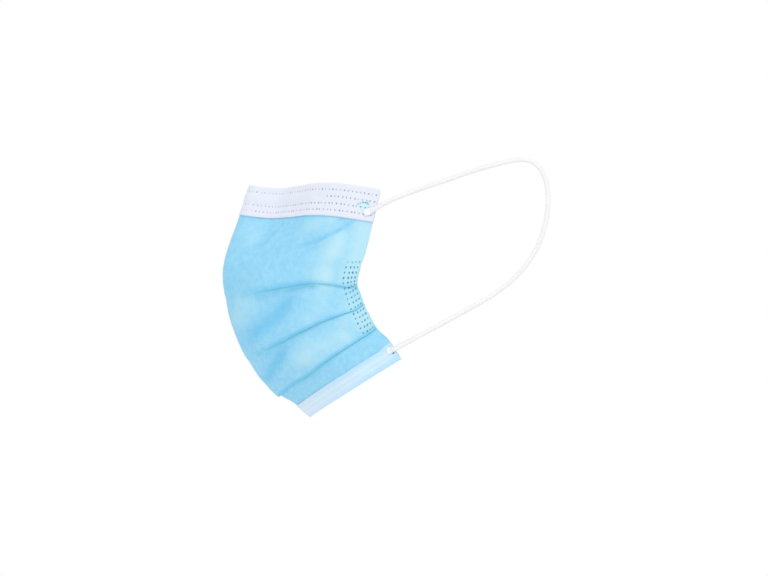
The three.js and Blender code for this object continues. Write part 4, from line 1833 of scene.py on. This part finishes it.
@dataclass
class WeldPlan:
    """Where the weld marks go on the panel, the binding and the hem.

    Corner arc holds the angle and the strength of each mark round the binding's pressed spot.
    """

    sheet: WornSheet
    finishes: "Finishes"
    side_columns: tuple[float, ...] = (1.1 * MM, 2.95 * MM, 4.8 * MM, 6.65 * MM)
    side_rows: int = 15
    side_pitch: float = 2.8 * MM
    side_start: float = 39.9 * MM
    end_gaps: tuple[float, float] = (2 * MM, 1 * MM)
    wire_margin: float = 7 * MM
    corner_arc: tuple[tuple[float, float], ...] = (
        (-160, 0.4), (-132, 0.3), (-106, 0.8), (-86, 0.85), (-66, 0.7), (-44, 0.4),
    )
    corner_reach: tuple[float, float] = (3.1 * MM, 1.9 * MM)
    hem_corner: tuple[float, float] = (1.9 * MM, 3.5 * MM)

    def build(
        self, panel: bpy.types.Object, band: bpy.types.Object, hem: bpy.types.Object
    ) -> list[bpy.types.Object]:
        """Presses every field of marks.

        Args:
            panel: the filter sheet.
            band: the binding.
            hem: the hem.

        Returns:
            The fields, each as one piece.
        """
        fields = [self._side(panel, side) for side in Side] + [self._band(band), self._hem(hem)]
        for side in Side:
            fields += [self._band_corner(band, side), self._hem_corner(hem, side)]
        return [marks.build() for marks in fields]

    def _press(self, marks: WeldMarks, share: float, down: float, strength: float, *faces: Face) -> None:
        """Presses a mark where the sheet has a share across and a length down.

        Args:
            marks: the field that it joins.
            share: how far across it lies, from -1 to 1.
            down: its length down from the top edge.
            strength: how deep it is pressed.
            faces: the faces that show it.
        """
        sheet = self.sheet
        station = sheet.station_at(share)
        after = min(station + 1, sheet.stations - 1)
        before = max(after - 2, 0)
        along = sheet.read(sheet.points, after, down) - sheet.read(sheet.points, before, down)
        for face in faces:
            place = sheet.read(sheet.points, station, down) - sheet.origin
            marks.press(place, sheet.read(sheet.normals, station, down) * face.value, along, strength)

    def _side(self, panel: bpy.types.Object, side: Side) -> WeldMarks:
        """Presses four columns of dots down one side seam, whose rows rise towards the edge.

        Args:
            panel: the filter sheet.
            side: which side.

        Returns:
            The field of marks.
        """
        name = f"side_welds_{side.name.lower()}"
        marks = WeldMarks(name, panel, self.finishes.side_weld, "filter_cloth", 0.95 * MM, stretch=0.72)
        random = np.random.default_rng(5)
        for number in range(self.side_rows):
            down = self.side_start + number * self.side_pitch
            bent = float(smooth(46 * MM, 58 * MM, down))
            for inward in self.side_columns:
                lift = (0.17 + 0.5 * bent) * (max(self.side_columns) - inward)
                strength = 0.9 + float(random.uniform(-0.2, 0.1)) - 0.5 * (number == 0)
                strength -= 0.12 * bent * (inward < 3.5 * MM)
                self._press(marks, self.sheet.share_at(side, inward), down - lift, strength, *Face)
        return marks

    def _band_corner(self, band: bpy.types.Object, side: Side) -> WeldMarks:
        """Presses an arc of deeper marks where the cord's end is welded onto the binding.

        Args:
            band: the binding.
            side: which side.

        Returns:
            The field of marks.
        """
        name = f"corner_welds_{side.name.lower()}"
        marks = WeldMarks(name, band, self.finishes.corner_weld, "binding_cloth", 0.62 * MM, stretch=1.4)
        inward, down = NoseBinding(self.sheet).pressed
        for angle, strength in self.corner_arc:
            turn = math.radians(angle)
            share = self.sheet.share_at(side, inward - self.corner_reach[0] * math.cos(turn))
            self._press(marks, share, down + self.corner_reach[1] * math.sin(turn), strength, Face.OUTER)
        return marks

    def _hem_corner(self, hem: bpy.types.Object, side: Side) -> WeldMarks:
        """Presses one mark below the cord's lower end.

        Args:
            hem: the hem.
            side: which side.

        Returns:
            The field of marks.
        """
        name = f"hem_corner_weld_{side.name.lower()}"
        marks = WeldMarks(name, hem, self.finishes.side_weld, "hem_cloth", 0.7 * MM)
        inward, up = self.hem_corner
        edge = self.sheet.total[-1 if side is Side.LEFT else 0]
        self._press(marks, self.sheet.share_at(side, inward), float(edge - up), 0.9, Face.OUTER)
        return marks

    def _places(self, pitch: float) -> np.ndarray:
        """Lengths round the sheet of the marks in one of its long rows."""
        reach, (first, last) = self.sheet.half_length, self.end_gaps
        return np.arange(-reach + first, reach - last, pitch)

    def _band(self, band: bpy.types.Object) -> WeldMarks:
        """Presses the rows of dots along the binding, one of them only beyond the nose wire.

        Args:
            band: the binding.

        Returns:
            The field of marks.
        """
        finish = self.finishes.band_weld
        marks = WeldMarks("band_welds", band, finish, "binding_cloth", 0.72 * MM, stretch=1.1)
        binding = NoseBinding(self.sheet)
        heights = binding.height_at()
        random = np.random.default_rng(31)
        for number, row in enumerate(binding.weld_rows):
            for around in self._places(binding.dot_pitch):
                if number == binding.wired_row and abs(around) < NoseWire.length / 2 + self.wire_margin:
                    continue
                share = around / self.sheet.half_length
                strength = 0.5 + 0.3 * float(smooth(0.2, 0.75, abs(share))) + float(random.uniform(-0.2, 0.2))
                self._press(marks, share, float(row * heights[self.sheet.station_at(share)]), strength, *Face)
        return marks

    def _hem(self, hem: bpy.types.Object) -> WeldMarks:
        """Presses the rows of faint dashes along the hem.

        Args:
            hem: the hem.

        Returns:
            The field of marks.
        """
        marks = WeldMarks("hem_welds", hem, self.finishes.hem_weld, "hem_cloth", 0.42 * MM, stretch=1.9)
        strip = ChinHem(self.sheet)
        heights = strip.height_at()
        for row in strip.weld_rows:
            for around in self._places(strip.dash_pitch):
                share = around / self.sheet.half_length
                station = self.sheet.station_at(share)
                down = self.sheet.total[station] - heights[station] * (1 - row)
                self._press(marks, share, float(down), 0.3, *Face)
        return marks


@dataclass(frozen=True)
class Sun:
    """A soft, even light: the way it lies from the mask, its spread in degrees and its strength."""

    name: str
    towards: tuple[float, float, float]
    spread: float
    strength: float

    def build(self) -> None:
        """Adds the light."""
        data = bpy.data.lights.new(self.name, "SUN")
        data.angle, data.energy = math.radians(self.spread), self.strength
        light = add_object(self.name, data)
        light.rotation_euler = Vector(self.towards).to_track_quat("Z", "Y").to_euler()


@dataclass
class Studio:
    """Camera, soft light and pale floor.

    Scale is in pixels for a millimetre, bridge_pixel the nose bridge's place in the picture, and
    bridge_front how far that pixel lies in front of the origin.
    """

    scale: float = 1.95
    picture: tuple[int, int] = (768, 576)
    bridge_pixel: tuple[float, float] = (243.5, 201.3)
    bridge_front: float = 3.6 * MM
    distance: float = 1.5
    floor_drop: float = 0.32
    floor_reach: float = 40.0
    glow: float = 0.86
    suns: tuple[Sun, ...] = (
        Sun("key", (0.62, 0.32, 0.72), 25, 0.58),
        Sun("fill", (0.9, -0.42, 0.03), 42, 0.4),
        Sun("far", (-0.9, -0.2, 0.4), 50, 0.35),
    )

    def build(self) -> None:
        """Sets up everything that isn't part of the mask."""
        self._camera()
        self._world()
        for sun in self.suns:
            sun.build()
        self._floor()

    def _camera(self) -> None:
        """Looks along -X at the mask's left side, as the photograph does."""
        data = bpy.data.cameras.new("camera")
        data.type = "ORTHO"
        data.ortho_scale = self.picture[0] / self.scale * MM
        data.clip_start, data.clip_end = 0.01, 10
        camera = add_object("camera", data)
        back = (self.picture[0] / 2 - self.bridge_pixel[0]) / self.scale * MM - self.bridge_front
        down = (self.picture[1] / 2 - self.bridge_pixel[1]) / self.scale * MM
        camera.location = (self.distance, back, -down)
        camera.rotation_euler = (math.pi / 2, 0, math.pi / 2)
        bpy.context.scene.camera = camera

    def _world(self) -> None:
        """Surrounds the mask with white, which the camera sees a little brighter than it lights."""
        world = bpy.data.worlds.new("studio")
        bpy.context.scene.world = world
        bpy.context.scene.view_settings.view_transform = "Standard"
        world.use_nodes = True
        tree = world.node_tree
        seen = node(tree, "ShaderNodeLightPath").outputs["Is Camera Ray"]
        strength = node(tree, "ShaderNodeMapRange", {"Value": seen, 3: self.glow, 4: 1.0}).outputs[0]
        set_inputs(tree, tree.nodes["Background"], {"Color": (1, 1, 1, 1), "Strength": strength})

    def _floor(self) -> None:
        """Lays a pale floor far below the mask."""
        signs = ((-1, -1), (1, -1), (1, 1), (-1, 1))
        corners = [(x * self.floor_reach, y * self.floor_reach, -self.floor_drop) for x, y in signs]
        mesh = bpy.data.meshes.new("floor")
        mesh.from_pydata(corners, [], [(0, 1, 2, 3)])
        finish = PlainFinish("pale floor", (0.9, 0.9, 0.9), (0.88, 0.88, 0.88), 0.9)
        add_object("floor", mesh, finish.material())


def main() -> None:
    """Builds the mask piece by piece."""
    logging.basicConfig(level=logging.INFO, format="%(name)s: %(message)s")
    sheet = WornSheet()
    finishes = Finishes()
    Studio().build()
    pieces = [piece for side in Side for piece in EarLoop(sheet, side).build(finishes)]
    cloths = (PleatedPanel, NoseBinding, NoseWire, ChinHem)
    panel, band, wire, hem = (make(sheet).build(finishes) for make in cloths)
    pieces += [panel, band, wire, hem, *WeldPlan(sheet, finishes).build(panel, band, hem)]
    for piece in pieces:
        log.info("%s: %d faces", piece.name, len(piece.data.polygons))


if __name__ == "__main__":
    main()
